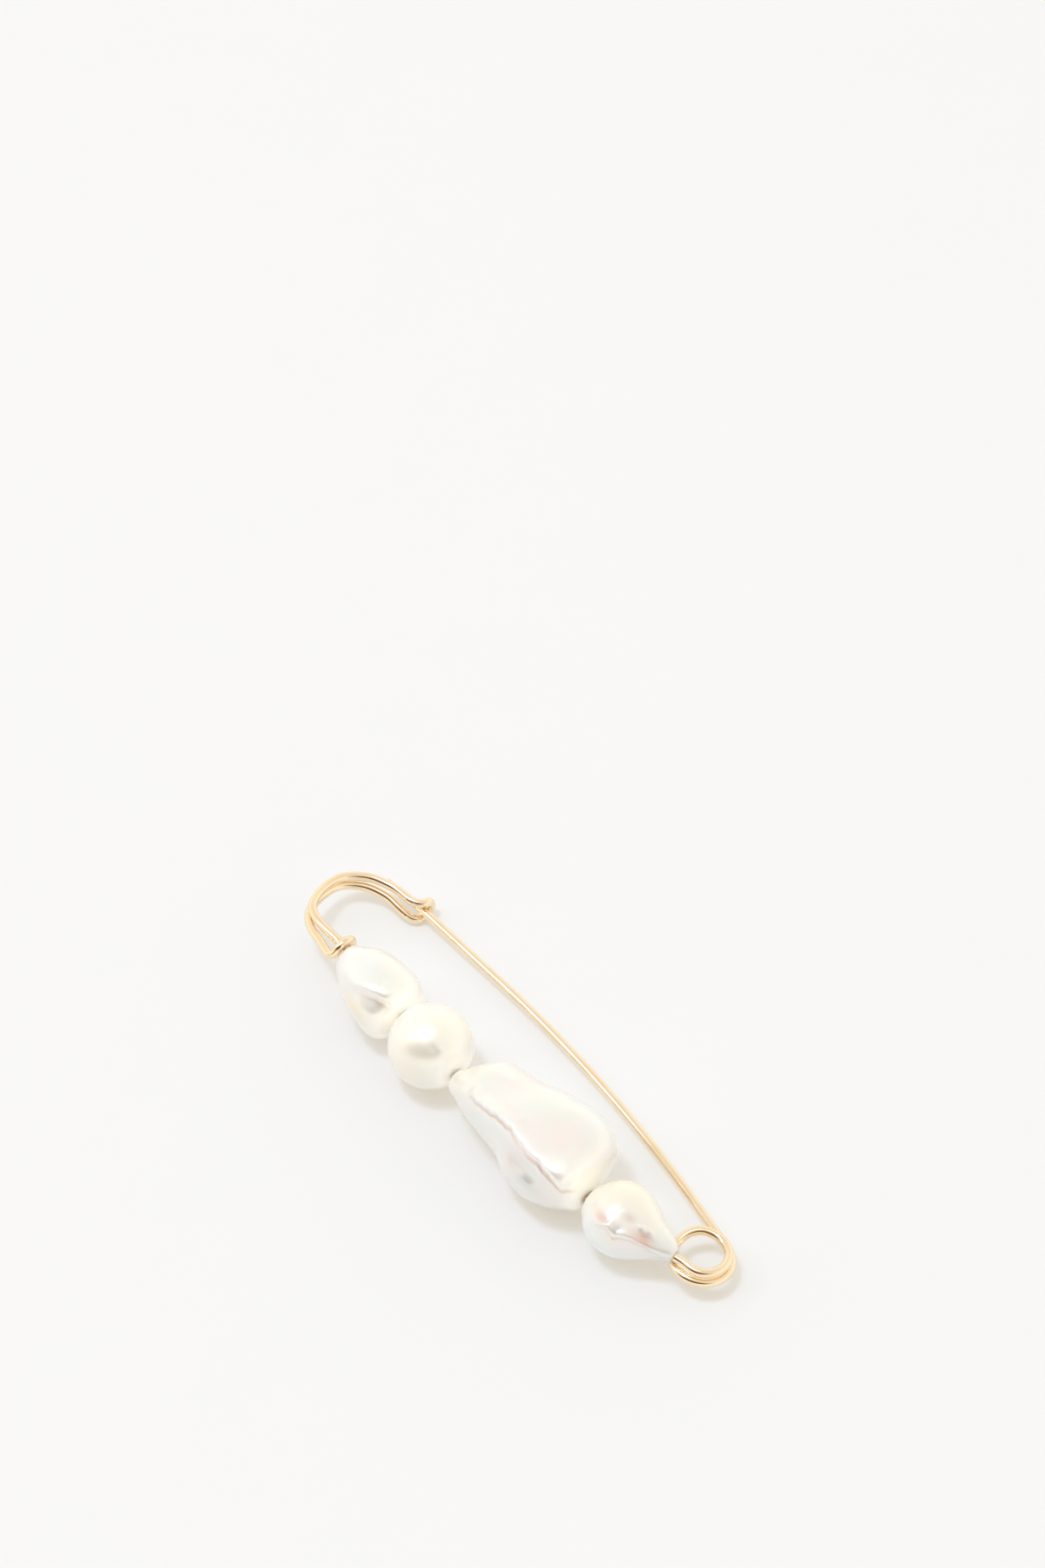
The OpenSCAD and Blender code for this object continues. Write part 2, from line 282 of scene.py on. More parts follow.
def inside_box(points: Array, reach: float) -> Array:
    """Press points softly into the solids' box.

    Args:
        points: Points in the row frame, in metres.
        reach: How far from a side the pressing starts, in metres.

    Returns:
        The points, none of them outside the box.
    """
    points = points.copy()
    for sign, sides in ((-1, CAD_BOX[0]), (1, CAD_BOX[1])):
        room = sign * (np.array(sides) - points)
        pressed = reach * np.exp(np.minimum(room / reach, 1.0) - 1)
        points += sign * np.where(room < reach, room - pressed, 0.0)
    return points


def waves(points: Array, length: float, count: int, seed: int) -> Array:
    """Return a smooth random height, about -1 to 1, at each point.

    Args:
        points: The points, in any shape that ends in three coordinates.
        length: The usual distance between two crests, in the points' unit.
        count: How many plane waves are added up.
        seed: Which random set it is.

    Returns:
        The heights, in the points' shape without its last axis.
    """
    rng = np.random.default_rng(seed)
    total = np.zeros(points.shape[:-1])
    for _ in range(count):
        way = unit(rng.normal(size=3)) * 2 * np.pi / length * rng.uniform(*WAVE_SPREAD)
        total += np.sin(points @ way + rng.uniform(0, 2 * np.pi))
    return total * math.sqrt(2 / count) / 2


# How the brooch lies and where its wire runs


@dataclass(frozen=True)
class Rest:
    """How the flat brooch lies on the table, in millimetres and degrees.

    The brooch's own frame has its origin at the coil's centre: u runs from the head to the coil, v from
    the bar to the pin and w out of its plane.
    """

    tilt: float = 11.5
    pitch: float = 0.9
    width_mid: float = -0.35

    def turned(self) -> Array:
        """Return the rotation from the brooch's own frame to the row frame.

        Returns:
            A three by three matrix.
        """
        t, p = math.radians(self.tilt), math.radians(self.pitch)
        about_x = np.array([[1, 0, 0], [0, math.cos(t), math.sin(t)], [0, -math.sin(t), math.cos(t)]])
        about_y = np.array([[math.cos(p), 0, math.sin(p)], [0, 1, 0], [-math.sin(p), 0, math.cos(p)]])
        return about_y @ about_x

    def centre(self, route: "WireRoute") -> Array:
        """Return the coil's centre in the row frame.

        Args:
            route: The wire, whose size and reach set the level.

        Returns:
            The centre, in millimetres.
        """
        lift = (
            2 * route.strand_pitch * math.cos(math.radians(self.tilt))
            + route.wire_d / 2
            + route.eye_v * math.sin(math.radians(self.tilt))
            + route.eye_u * math.sin(math.radians(self.pitch))
        )
        return np.array([-(route.eye_u - route.head_reach + route.coil_end_r) / 2, self.width_mid, lift])


@dataclass(frozen=True)
class WireRoute:
    """Where the wire runs, in the brooch's own frame, in millimetres and degrees."""

    wire_d: float = 1.0
    strand_gap: float = 0.04
    bar_coil_angle: float = 15.0
    bar_head_angle: float = 6.0
    head_room: float = 0.3
    coil_start_r: float = 2.76
    coil_growth: float = 0.65
    turn_gap: float = 0.18
    arm_offset: float = 8.55
    arm_coil_angle: float = 12.5
    arm_bow_r: float = 155.0
    tip_past_eye: float = 5.6
    point_length: float = 6.5
    point_d: float = 0.2
    point_taper: float = 1.3
    head_reach: float = 8.1
    eye_setback: float = 1.3
    eye_slack: float = 0.2
    pearl_gap: float = 0.2
    tip_room: float = 0.45
    oval_length: float = 10.1
    round_d: float = 9.1
    large_length: float = 19.85
    drop_length: float = 10.95
    lead_turn: float = 60.0
    past_pin_turn: float = 50.0
    drop_to: float = 330.0
    bar_steps: int = 300
    arch_steps: int = 12
    eye_steps: int = 32
    tail_steps: int = 10
    bow_steps: int = 120
    pin_spacing: float = 0.12
    search_steps: int = 24
    rest: Rest = Rest()
    # The head arch: a share of head_reach beyond the eye, then a share of the head's width
    arch_rows: tuple[tuple[float, float], ...] = (
        (0.36, 0.0), (0.54, 0.008), (0.7, 0.036), (0.83, 0.098), (0.925, 0.215), (0.98, 0.35), (1.0, 0.475),
        (0.985, 0.575), (0.93, 0.665), (0.84, 0.747), (0.73, 0.815), (0.6, 0.862), (0.45, 0.9),
        (0.29, 0.915), (0.17, 0.922), (0.075, 0.945), (0.02, 0.985),
    )  # fmt: skip
    # The strand that goes back: a share of the arch, then out and down in wire diameters
    tail_rows: tuple[tuple[float, float, float], ...] = (
        (0.05, -0.3, 2.05), (0.12, -0.46, 1.92), (0.2, -0.5, 1.6), (0.29, -0.5, 1.25), (0.4, -0.46, 1.06),
        (0.5, -0.34, 1.03), (0.6, -0.12, 1.03), (0.7, 0.0, 1.03), (0.765, 0.15, 1.02), (0.825, 0.42, 0.94),
        (0.885, 0.82, 0.8), (0.945, 1.15, 0.68), (1.0, 1.62, 0.58),
    )  # fmt: skip
    # The wrap: an angle about the bar, then away from it and on along it in wire diameters
    wrap_rows: tuple[tuple[float, float, float], ...] = (
        (198, 1.79, 0.39), (196, 1.68, 0.79), (188, 1.46, 1.08), (173, 1.24, 1.19), (136, 1.14, 1.22),
        (92, 1.07, 1.22), (48, 1.07, 1.22), (4, 1.07, 1.22), (-40, 1.07, 1.2), (-84, 1.07, 1.18),
        (-118, 1.07, 1.15),
    )  # fmt: skip

    @property
    def strand_pitch(self) -> float:
        """Distance between strands that touch."""
        return self.wire_d + self.strand_gap

    @property
    def coil_end_r(self) -> float:
        """Radius of the coil where the pin runs out."""
        return self.coil_start_r + self.coil_growth

    @property
    def coil_start_angle(self) -> float:
        """Angle at which the bar meets the coil."""
        return -90.0 - self.bar_coil_angle

    @property
    def coil_turn(self) -> float:
        """Degrees that the coil turns from the bar to the pin."""
        run_out = math.degrees(math.atan(3 * self.coil_growth / (self.coil_end_r * 3 * math.pi)))
        return 540 + self.bar_coil_angle - self.arm_coil_angle + run_out

    @property
    def coil_level(self) -> float:
        """Level of the coil's second turn."""
        return -self.wire_d - self.turn_gap

    @property
    def wrap_length(self) -> float:
        """Length of bar under the wrapped tail."""
        return 1.75 * self.wire_d

    @property
    def string_length(self) -> float:
        """Length of the bar with all that is on it.

        Returns:
            The length, in millimetres.
        """
        pearls = self.drop_length + self.large_length + self.round_d + self.oval_length
        gaps = 3 * self.pearl_gap + self.strand_gap
        return self.tip_room + pearls + gaps + self.wrap_length + self.head_room

    @property
    def bar_span(self) -> float:
        """The bar's length along u: its bow adds nearly a fifteenth of its squared end slopes."""
        coil, head = self.bar_slopes
        return self.string_length / (1 + (coil**2 + head**2) / 15)

    @property
    def bar_slopes(self) -> tuple[float, float]:
        """The bar's slope at the coil and at the head."""
        return math.tan(math.radians(self.bar_coil_angle)), math.tan(math.radians(self.bar_head_angle))

    @property
    def bar_start(self) -> Array:
        """Where the bar meets the coil."""
        a = math.radians(self.coil_start_angle)
        return self.coil_start_r * np.array([math.cos(a), math.sin(a)])

    @property
    def bar_end(self) -> Array:
        """Where the bar meets the head."""
        return self.bar_start - np.array([self.bar_span, 0.0])

    @property
    def bar_way(self) -> Array:
        """The bar's heading where it meets the coil, towards the coil."""
        a = math.radians(self.bar_coil_angle)
        return np.array([math.cos(a), math.sin(a), 0.0])

    @property
    def arm_way(self) -> Array:
        """The pin's heading where it leaves the coil."""
        a = math.radians(self.arm_coil_angle)
        return np.array([-math.cos(a), math.sin(a), 0.0])

    @property
    def eye_u(self) -> float:
        """The eye's place along the brooch."""
        return self.bar_end[0] + self.eye_setback

    @property
    def eye_v(self) -> float:
        """The eye's place across the brooch."""
        return self.arm_offset + self.eye_slack

    @property
    def head_width(self) -> float:
        """Distance across the head, from the bar to the pin."""
        return self.arm_offset - self.bar_end[1]

    def bar_at(self, t: float) -> Array:
        """Return the bar's centre at a share t of its span.

        Args:
            t: The share, from the coil at 0 to the head at 1.

        Returns:
            The centre, in the brooch's own frame.
        """
        coil, head = self.bar_slopes
        bow = coil * t * (1 - t) ** 2 + head * t * t * (1 - t)
        return np.array([*(self.bar_start - self.bar_span * np.array([t, bow])), 0.0])

    def bar_from(self, start: float, distance: float) -> float:
        """Return the share of the bar at a straight distance from another share.

        Args:
            start: The share that is measured from.
            distance: The straight distance, in millimetres.

        Returns:
            The share of the bar, towards the head.
        """
        low, high = start, 1.2
        for _ in range(self.search_steps):
            mid = (low + high) / 2
            if np.linalg.norm(self.bar_at(mid) - self.bar_at(start)) < distance:
                low = mid
            else:
                high = mid
        return (low + high) / 2

    def pearl_spans(self) -> dict[str, tuple[float, float]]:
        """Return the two shares of the bar between which each pearl sits, the coil's side first.

        Returns:
            Two shares of the bar for each pearl, by its key.
        """
        spans, near = {}, self.bar_from(0, self.tip_room)
        for name, length in (
            ("drop", self.drop_length),
            ("large", self.large_length),
            ("round", self.round_d),
            ("oval", self.oval_length),
        ):
            far = self.bar_from(near, length)
            spans[name] = (near, far)
            near = self.bar_from(far, self.pearl_gap)
        return spans

    def arch(self, steps: int) -> Array:
        """Return the head arch from the bar to the eye's top.

        Args:
            steps: How many stretches each span between two rows gets.

        Returns:
            The points of its centreline.
        """
        rows = [
            (self.eye_u - along * self.head_reach, self.bar_end[1] + across * self.head_width, 0.0)
            for along, across in self.arch_rows
        ]
        return spline(np.array([(*self.bar_end, 0.0), *rows, (self.eye_u, self.eye_v, 0.0)]), steps)

    def tail(self, steps: int) -> Array:
        """Return the strand that goes back from the eye's foot to the bar and round it.

        Args:
            steps: How many stretches each span between two rows gets.

        Returns:
            The points of its centreline.
        """
        arch = self.arch(2)

        def on_arch(share: float) -> Array:
            """Return the arch's centre at a share of its points.

            Args:
                share: The share, from the bar at 0 to the eye at 1.

            Returns:
                The centre there.
            """
            i = min(share * (len(arch) - 1), len(arch) - 1.0001)
            k = int(i)
            return arch[k] + (arch[k + 1] - arch[k]) * (i - k)

        points = [np.array([self.eye_u, self.eye_v, -2 * self.strand_pitch])]
        for along, out, drop in self.tail_rows:
            share = 1 - along
            way = unit(on_arch(min(share + 0.01, 1)) - on_arch(max(share - 0.01, 0)))
            beside = np.array([-way[1], way[0], 0.0])
            down = np.array([0.0, 0.0, drop * self.strand_pitch])
            points.append(on_arch(share) + beside * out * self.wire_d - down)
        wrap_start = self.bar_from(0, self.string_length - self.head_room - self.wrap_length)
        for around, away, on in self.wrap_rows:
            p = self.bar_at(wrap_start + (self.wrap_length - on * self.wire_d) / self.bar_span)
            a = math.radians(around)
            points.append(p + self.wire_d * away * np.array([0.0, math.cos(a), math.sin(a)]))
        return spline(np.array(points), steps)

    def frame_wire(self) -> Array:
        """Return the whole route of the bar, the head and the tail.

        Returns:
            The points of its centreline, from the coil to the cut end.
        """
        bar = np.array([self.bar_at(t) for t in np.linspace(0, 1, self.bar_steps)])
        a = np.linspace(0, math.pi, self.eye_steps)
        eye = np.stack(
            [
                np.full_like(a, self.eye_u),
                self.eye_v + self.strand_pitch * np.sin(a),
                self.strand_pitch * (np.cos(a) - 1),
            ],
            axis=1,
        )
        arch, tail = self.arch(self.arch_steps), self.tail(self.tail_steps)
        return np.vstack([bar[:-1], arch[:-1], eye[:-1], tail])

    def coil(self, rings: int) -> Array:
        """Return the coil's route from the bar to the pin.

        Args:
            rings: How many points the route gets.

        Returns:
            The points of its centreline.
        """
        turned = np.linspace(0, self.coil_turn, rings)
        a = np.radians(self.coil_start_angle + turned)
        lead = np.maximum(0, 1 - turned / self.lead_turn)
        lead_slope = self.coil_start_r * math.tan(math.radians(2 * self.bar_coil_angle))
        r = self.coil_start_r + self.coil_growth * (turned / self.coil_turn) ** 3
        r = r - lead_slope * np.radians(turned) * lead**2
        drop_from = self.coil_turn - 360 + self.past_pin_turn
        s = np.clip((turned - drop_from) / (self.drop_to - drop_from), 0, 1)
        return np.stack([r * np.cos(a), r * np.sin(a), self.coil_level * s * s * (3 - 2 * s)], axis=1)

    def pin(self) -> tuple[Array, Array]:
        """Return the pin's route from the coil to its point, and its radius at each place.

        Returns:
            The points of its centreline, and a radius for each.
        """
        angle = math.radians(self.arm_coil_angle)
        a = math.radians(self.coil_start_angle + self.coil_turn)
        start = self.coil_end_r * np.array([math.cos(a), math.sin(a)])
        way = np.array([-math.cos(angle), math.sin(angle)])
        rise = self.arm_bow_r * (1 - math.cos(angle))
        bow_start = start + way * (self.arm_offset - start[1] - rise) / math.sin(angle)
        bow_centre = bow_start - self.arm_bow_r * np.array([math.sin(angle), math.cos(angle)])
        b = np.linspace(angle, 0, self.bow_steps)
        bow = bow_centre + self.arm_bow_r * np.column_stack([np.sin(b), np.cos(b)])
        tip_u = self.eye_u - self.tip_past_eye
        flat = np.vstack([[start], bow, [[tip_u, self.arm_offset]]])
        gone = np.maximum(0, start[0] - flat[:, 0]) / (start[0] - self.eye_u)
        level = self.coil_level + (-self.strand_pitch - self.coil_level) * gone
        route = even(np.column_stack([flat, level]), self.pin_spacing)
        ground = np.clip((tip_u + self.point_length - route[:, 0]) / self.point_length, 0, 1)
        radii = (self.wire_d + (self.point_d - self.wire_d) * ground**self.point_taper) / 2
        return route, radii

    def placed(self, points: Array) -> Array:
        """Return points of the brooch's own frame in the row frame, in metres."""
        return (self.rest.centre(self) + points @ self.rest.turned().T) * MM


# Node tools, shared effects and finishes


class Sketch:
    """Writes nodes into a tree."""

    def __init__(self, tree: bpy.types.NodeTree) -> None:
        """Start in tree."""
        self.tree = tree

    def node(self, kind: str, inputs: dict[Any, Any] | None = None, **settings: Any) -> bpy.types.Node:
        """Add a node.

        Args:
            kind: The node's type, without its common prefix.
            inputs: Values or sockets for its inputs, by name or number.
            settings: Its own properties.

        Returns:
            The node.
        """
        made = self.tree.nodes.new("ShaderNode" + kind)
        for key, value in settings.items():
            setattr(made, key, value)
        self.feed(made, inputs or {})
        return made

    def feed(self, node: bpy.types.Node, inputs: dict[Any, Any]) -> None:
        """Give a node its inputs, by name or number: values, or sockets to join.

        Args:
            node: The node.
            inputs: Values, or sockets to join, by the name or number of the input.
        """
        for key, value in inputs.items():
            if isinstance(value, bpy.types.NodeSocket):
                self.tree.links.new(value, node.inputs[key])
            else:
                node.inputs[key].default_value = value

    def math(self, operation: str, a: Any, b: Any = 0.0, clamp: bool = False) -> bpy.types.NodeSocket:
        """Return the socket of a sum, product or the like of a and b."""
        return self.node("Math", {0: a, 1: b}, operation=operation, use_clamp=clamp).outputs[0]

    def mix(self, share: Any, a: Any, b: Any) -> bpy.types.NodeSocket:
        """Return the socket of a colour between a and b."""
        made = self.node("Mix", {0: share, 6: a, 7: b}, data_type="RGBA", clamp_factor=True)
        return made.outputs[2]

    def clouds(
        self, body: Colour, first: Colour, second: Colour, scale: float, amount: float
    ) -> bpy.types.NodeSocket:
        """Return the socket of a colour that drifts from body to two other tints, by the shared effect.

        Args:
            body: The main tint.
            first: The tint of the first clouds.
            second: The tint of the second clouds.
            scale: How fine the clouds are.
            amount: How strong they are, from 0 to 1.

        Returns:
            The colour's socket.
        """
        tints = {"Body": rgba(body), "First": rgba(first), "Second": rgba(second)}
        look = {**tints, "Scale": scale, "Amount": amount}
        return self.node("Group", look, node_tree=Effects.cloud()).outputs["Color"]

    def mark(self, name: str) -> bpy.types.NodeSocket:
        """Return the socket of a value that the mesh holds."""
        return self.node("Attribute", attribute_name=name, attribute_type="GEOMETRY").outputs["Fac"]


def rgba(colour: Colour) -> tuple[float, float, float, float]:
    """Return a colour with full alpha."""
    return (*colour, 1.0)


class Effects:
    """Node groups for the finishes, built once and placed in each with its own values."""

    _built: dict[str, bpy.types.NodeTree] = {}
    second_place: tuple[float, float, float] = (0.37, 0.21, 0.53)

    @classmethod
    def _group(
        cls,
        name: str,
        inputs: Sequence[tuple[str, str, Any]],
        outputs: Sequence[tuple[str, str]],
        fill: Callable[[Sketch, bpy.types.Node, bpy.types.Node], None],
    ) -> bpy.types.NodeTree:
        """Build a group, or return the one that is there.

        Args:
            name: The group's name.
            inputs: Name, kind and first value of each input.
            outputs: Name and kind of each output.
            fill: Writes the nodes between the group's input and output nodes.

        Returns:
            The group.
        """
        if name not in cls._built:
            tree = bpy.data.node_groups.new(name, "ShaderNodeTree")
            for label, kind, first in inputs:
                socket = tree.interface.new_socket(label, in_out="INPUT", socket_type="NodeSocket" + kind)
                socket.default_value = first
            for label, kind in outputs:
                tree.interface.new_socket(label, in_out="OUTPUT", socket_type="NodeSocket" + kind)
            fill(Sketch(tree), tree.nodes.new("NodeGroupInput"), tree.nodes.new("NodeGroupOutput"))
            cls._built[name] = tree
        return cls._built[name]

    @classmethod
    def cloud(cls) -> bpy.types.NodeTree:
        """Return the group that mixes three tints in soft clouds over the surface.

        Returns:
            The group, with a body and two tints, a scale and an amount as its inputs.
        """

        def fill(s: Sketch, given: bpy.types.Node, out: bpy.types.Node) -> None:
            """Mix the tints by two noises at different places.

            Args:
                s: The group's sketch.
                given: Its input node.
                out: Its output node.
            """
            place = s.node("TexCoord").outputs["Object"]
            moved = s.node("VectorMath", {0: place, 1: cls.second_place}, operation="ADD").outputs[0]
            colour = given.outputs["Body"]
            for tint, at, detail, roughness, low, high in (
                ("First", place, 1.5, 0.45, 0.42, 0.68),
                ("Second", moved, 1.0, 0.4, 0.45, 0.7),
            ):
                look = {"Vector": at, "Scale": given.outputs["Scale"], "Detail": detail}
                noise = s.node("TexNoise", {**look, "Roughness": roughness}).outputs["Fac"]
                cloud = s.node("MapRange", {0: noise, 1: low, 2: high}, interpolation_type="SMOOTHSTEP")
                share = s.math("MULTIPLY", cloud.outputs[0], given.outputs["Amount"])
                colour = s.mix(share, colour, given.outputs[tint])
            s.feed(out, {"Color": colour})

        return cls._group(
            "tint_clouds",
            [
                ("Body", "Color", (0.9, 0.85, 0.8, 1)),
                ("First", "Color", (0.9, 0.8, 0.8, 1)),
                ("Second", "Color", (0.8, 0.9, 0.8, 1)),
                ("Scale", "Float", 200.0),
                ("Amount", "Float", 0.5),
            ],
            [("Color", "Color")],
            fill,
        )

    @classmethod
    def grain(cls) -> bpy.types.NodeTree:
        """Return the group that gives a fine uneven relief as a normal, and its height as a value.

        Returns:
            The group, with the scale and depth of the relief as its inputs.
        """

        def fill(s: Sketch, given: bpy.types.Node, out: bpy.types.Node) -> None:
            """Take one noise as a height and as a bump.

            Args:
                s: The group's sketch.
                given: Its input node.
                out: Its output node.
            """
            place = s.node("TexCoord").outputs["Object"]
            look = {"Vector": place, "Scale": given.outputs["Scale"], "Detail": 4.0, "Roughness": 0.55}
            fine = s.node("TexNoise", look).outputs["Fac"]
            bump = s.node("Bump", {"Height": fine, "Strength": 1.0, "Distance": given.outputs["Depth"]})
            s.feed(out, {"Height": fine, "Normal": bump.outputs["Normal"]})

        return cls._group(
            "fine_grain",
            [("Scale", "Float", 900.0), ("Depth", "Float", 0.00002)],
            [("Height", "Float"), ("Normal", "Vector")],
            fill,
        )

    @classmethod
    def drawn(cls) -> bpy.types.NodeTree:
        """Return the group that gives the lengthwise marks of drawn wire, by its run and turn marks.

        Returns:
            The group, with how fine the marks are along and across as its inputs.
        """

        def fill(s: Sketch, given: bpy.types.Node, out: bpy.types.Node) -> None:
            """Stretch a noise along the wire and round it.

            Args:
                s: The group's sketch.
                given: Its input node.
                out: Its output node.
            """
            turn, across = s.mark("turn"), given.outputs["Across"]
            place = {
                "X": s.math("MULTIPLY", s.mark("run"), given.outputs["Along"]),
                "Y": s.math("MULTIPLY", s.math("COSINE", turn), across),
                "Z": s.math("MULTIPLY", s.math("SINE", turn), across),
            }
            where = s.node("CombineXYZ", place).outputs[0]
            lines = s.node("TexNoise", {"Vector": where, "Scale": 1.0, "Detail": 3.0, "Roughness": 0.6})
            s.feed(out, {"Lines": lines.outputs["Fac"]})

        return cls._group(
            "drawn_marks",
            [("Along", "Float", 0.4), ("Across", "Float", 9.0)],
            [("Lines", "Float")],
            fill,
        )


def new_material(name: str) -> tuple[bpy.types.Material, Sketch, bpy.types.Node]:
    """Return a new material, a sketch of its tree and its Principled shader.

    Args:
        name: The material's name.

    Returns:
        The material, the sketch and the shader.
    """
    material = bpy.data.materials.new(name)
    material.use_nodes = True
    tree = material.node_tree
    tree.nodes.clear()
    sketch = Sketch(tree)
    shader = sketch.node("BsdfPrincipled")
    sketch.node("OutputMaterial", {"Surface": shader.outputs[0]})
    return material, sketch, shader


@dataclass(frozen=True)
class GoldFinish:
    """Polished gold-filled wire, with faint lengthwise marks and soft clouds of a warmer tone."""

    name: str = "polished_gold_wire"
    colour: Colour = (0.955, 0.795, 0.585)
    deep: Colour = (0.93, 0.72, 0.47)
    smooth: float = 0.07
    scuffed: float = 0.13
    mark_depth: float = 0.0000012
    cloud_scale: float = 420.0
    cloud_amount: float = 0.5

    def material(self) -> bpy.types.Material:
        """Return the finish as a material.

        Returns:
            The material.
        """
        material, s, shader = new_material(self.name)
        lines = s.node("Group", node_tree=Effects.drawn()).outputs["Lines"]
        tone = s.clouds(self.colour, self.deep, self.colour, self.cloud_scale, self.cloud_amount)
        rough = s.node("MapRange", {0: lines, 1: 0.35, 2: 0.75, 3: self.smooth, 4: self.scuffed})
        bump = s.node("Bump", {"Height": lines, "Strength": 1.0, "Distance": self.mark_depth})
        look = {
            "Base Color": tone,
            "Roughness": rough.outputs[0],
            "Normal": bump.outputs["Normal"],
            "Metallic": 1.0,
        }
        s.feed(shader, look)
        return material


@dataclass(frozen=True)
class NacreFinish:
    """Nacre: a warm, partly mirroring body under a clear lustre, with clouds and patches of other tints.
    Some patches are painted light and shade: painted highlights, a painted reflection of the dark room
    and painted shade in creases and dents.

    A painted glow lights it where the mark of its painted light is strongest, as round the drill holes,
    lightening the shade between the pearls.
    """

    name: str
    body: Colour
    rose: Colour
    sage: Colour
    cloud_scale: float = 190.0
    cloud_amount: float = 0.6
    # Painted shade: the pink-brown of the creases below the folds and of dents.
    shaded_groove: Colour = (0.69, 0.48, 0.40)
    cream: Colour = (0.91, 0.80, 0.58)
    cool: Colour = (0.82, 0.87, 0.89)
    # Painted light: painted highlights, and lightening of the shade at the ends between the pearls.
    painted_light: Colour = (0.99, 0.965, 0.89)
    blush: Colour = (0.93, 0.77, 0.73)
    leaf: Colour = (0.80, 0.89, 0.81)
    # Painted reflection of the room's dark corner, in grey.
    painted_dark_reflection: Colour = (0.58, 0.57, 0.56)
    sheen: float = 0.34
    lustre_rough: float = 0.13
    lustre_index: float = 1.9
    body_rough: float = 0.34
    rough_spread: float = 0.04
    grain_scale: float = 700.0
    grain_depth: float = 0.0000012
    glow: float = 0.9
    glow_radius: Colour = (1.0, 0.9, 0.8)
    glow_scale: float = 0.0025
    # Painted glow: emission at the pearls' ends, lightening the shade between them.
    painted_glow: Colour = (1.0, 0.93, 0.80)
    painted_glow_level: float = 0.2
    painted_glow_fall: float = 5.0

    def material(self) -> bpy.types.Material:
        """Return the finish as a material.

        Returns:
            The material.
        """
        material, s, shader = new_material(self.name)
        colour = s.clouds(self.body, self.rose, self.sage, self.cloud_scale, self.cloud_amount)
        # Mix in the patch tints by their marks; some are painted light, painted shade and a painted
        # reflection.
        for mark in PATCH_TINTS:
            colour = s.mix(s.mark(mark), colour, rgba(getattr(self, mark)))
        relief = {"Scale": self.grain_scale, "Depth": self.grain_depth}
        grain = s.node("Group", relief, node_tree=Effects.grain())
        low, high = self.body_rough - self.rough_spread, self.body_rough + self.rough_spread
        rough = s.node("MapRange", {0: grain.outputs["Height"], 1: 0.3, 2: 0.7, 3: low, 4: high})
        # Painted glow: emission where the mark of the painted light is strongest, at the drill-hole ends.
        ends = s.math("POWER", s.mark("painted_light"), self.painted_glow_fall)
        look = {
            "Base Color": colour,
            "Roughness": rough.outputs[0],
            "Normal": grain.outputs["Normal"],
            "Emission Color": s.mix(ends, rgba(BLACK), rgba(self.painted_glow)),
            "Emission Strength": self.painted_glow_level,
            "Metallic": self.sheen,
            "Subsurface Weight": self.glow,
            "Subsurface Radius": self.glow_radius,
            "Subsurface Scale": self.glow_scale,
            "Coat Weight": 1.0,
            "Coat Roughness": self.lustre_rough,
            "Coat IOR": self.lustre_index,
        }
        s.feed(shader, look)
        return material


# The wire


@dataclass
class WireWork:
    """The bent gold wire, in three pieces: bar and head, coil, and pin."""

    route: WireRoute
    finish: bpy.types.Material
    sides: int = 40
    spacing: float = 0.12
    kink: float = 0.16
    radius: float = 0.495
    cut_bevel: float = 0.12
    squeeze: float = 0.04
    coil_rings: int = 420
    blend_from: float = -0.5
    blend_to: float = -0.68

    def _piece(
        self, name: str, route: Array, radii: Array, ends: tuple[Array | None, Array | None]
    ) -> bpy.types.Object:
        """Sweep the wire along route as a piece.

        Args:
            name: The piece's name.
            route: Its centreline in the brooch's own frame.
            radii: Its radius at each point.
            ends: The headings of its ends, where they are given.

        Returns:
            The piece, with its run and turn marks.
        """
        rings = tube(route, radii, self.sides, ends)
        run = np.repeat(lengths_along(route), self.sides)
        turn = np.tile(2 * np.pi * np.arange(self.sides) / self.sides, len(route))
        points = inside_box(self.route.placed(rings.reshape(-1, 3)), self.squeeze * MM)
        faces = skin_faces(len(route), self.sides, closed=False)
        piece = shown(name, points, faces, {"run": run, "turn": turn})
        piece.data.materials.append(self.finish)
        return piece

    def frame_piece(self) -> bpy.types.Object:
        """Build the bar, the doubled head, the eye and the wrapped tail.

        Returns:
            The piece.
        """
        route = softened(even(self.route.frame_wire(), self.spacing), self.kink)
        route, radii = bevelled(route, np.full(len(route), self.radius), self.cut_bevel)
        piece = self._piece("bar_and_catch_wire", route, radii, (-self.route.bar_way, None))
        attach(piece, Body.FRAME.value)
        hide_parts("frame_wire")
        return piece

    def coil_piece(self) -> bpy.types.Object:
        """Build the spring coil, which winds between the frame and the pin.

        Returns:
            The piece.
        """
        route = self.route.coil(self.coil_rings)
        ends = (self.route.bar_way, self.route.arm_way)
        piece = self._piece("coil_wire", route, np.full(len(route), self.radius), ends)
        start = self.route.placed(np.array([0.0, 0.0, self.blend_from]))
        end = self.route.placed(np.array([0.0, 0.0, self.blend_to]))
        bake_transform(piece, Body.FRAME.value, Body.PIN.value, start=tuple(start), end=tuple(end))
        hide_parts("spring_coil")
        return piece

    def pin_piece(self) -> bpy.types.Object:
        """Build the bowed pin with its ground point.

        Returns:
            The piece.
        """
        route, radii = self.route.pin()
        route = softened(route, self.kink)
        route, radii = bevelled(route, radii * self.radius * 2 / self.route.wire_d, self.route.point_d / 2)
        piece = self._piece("pin_wire", route, radii, (self.route.arm_way, None))
        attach(piece, Body.PIN.value)
        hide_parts("pin_arm")
        return piece

    def build(self) -> list[bpy.types.Object]:
        """Build the three pieces."""
        return [self.frame_piece(), self.coil_piece(), self.pin_piece()]


# The pearls


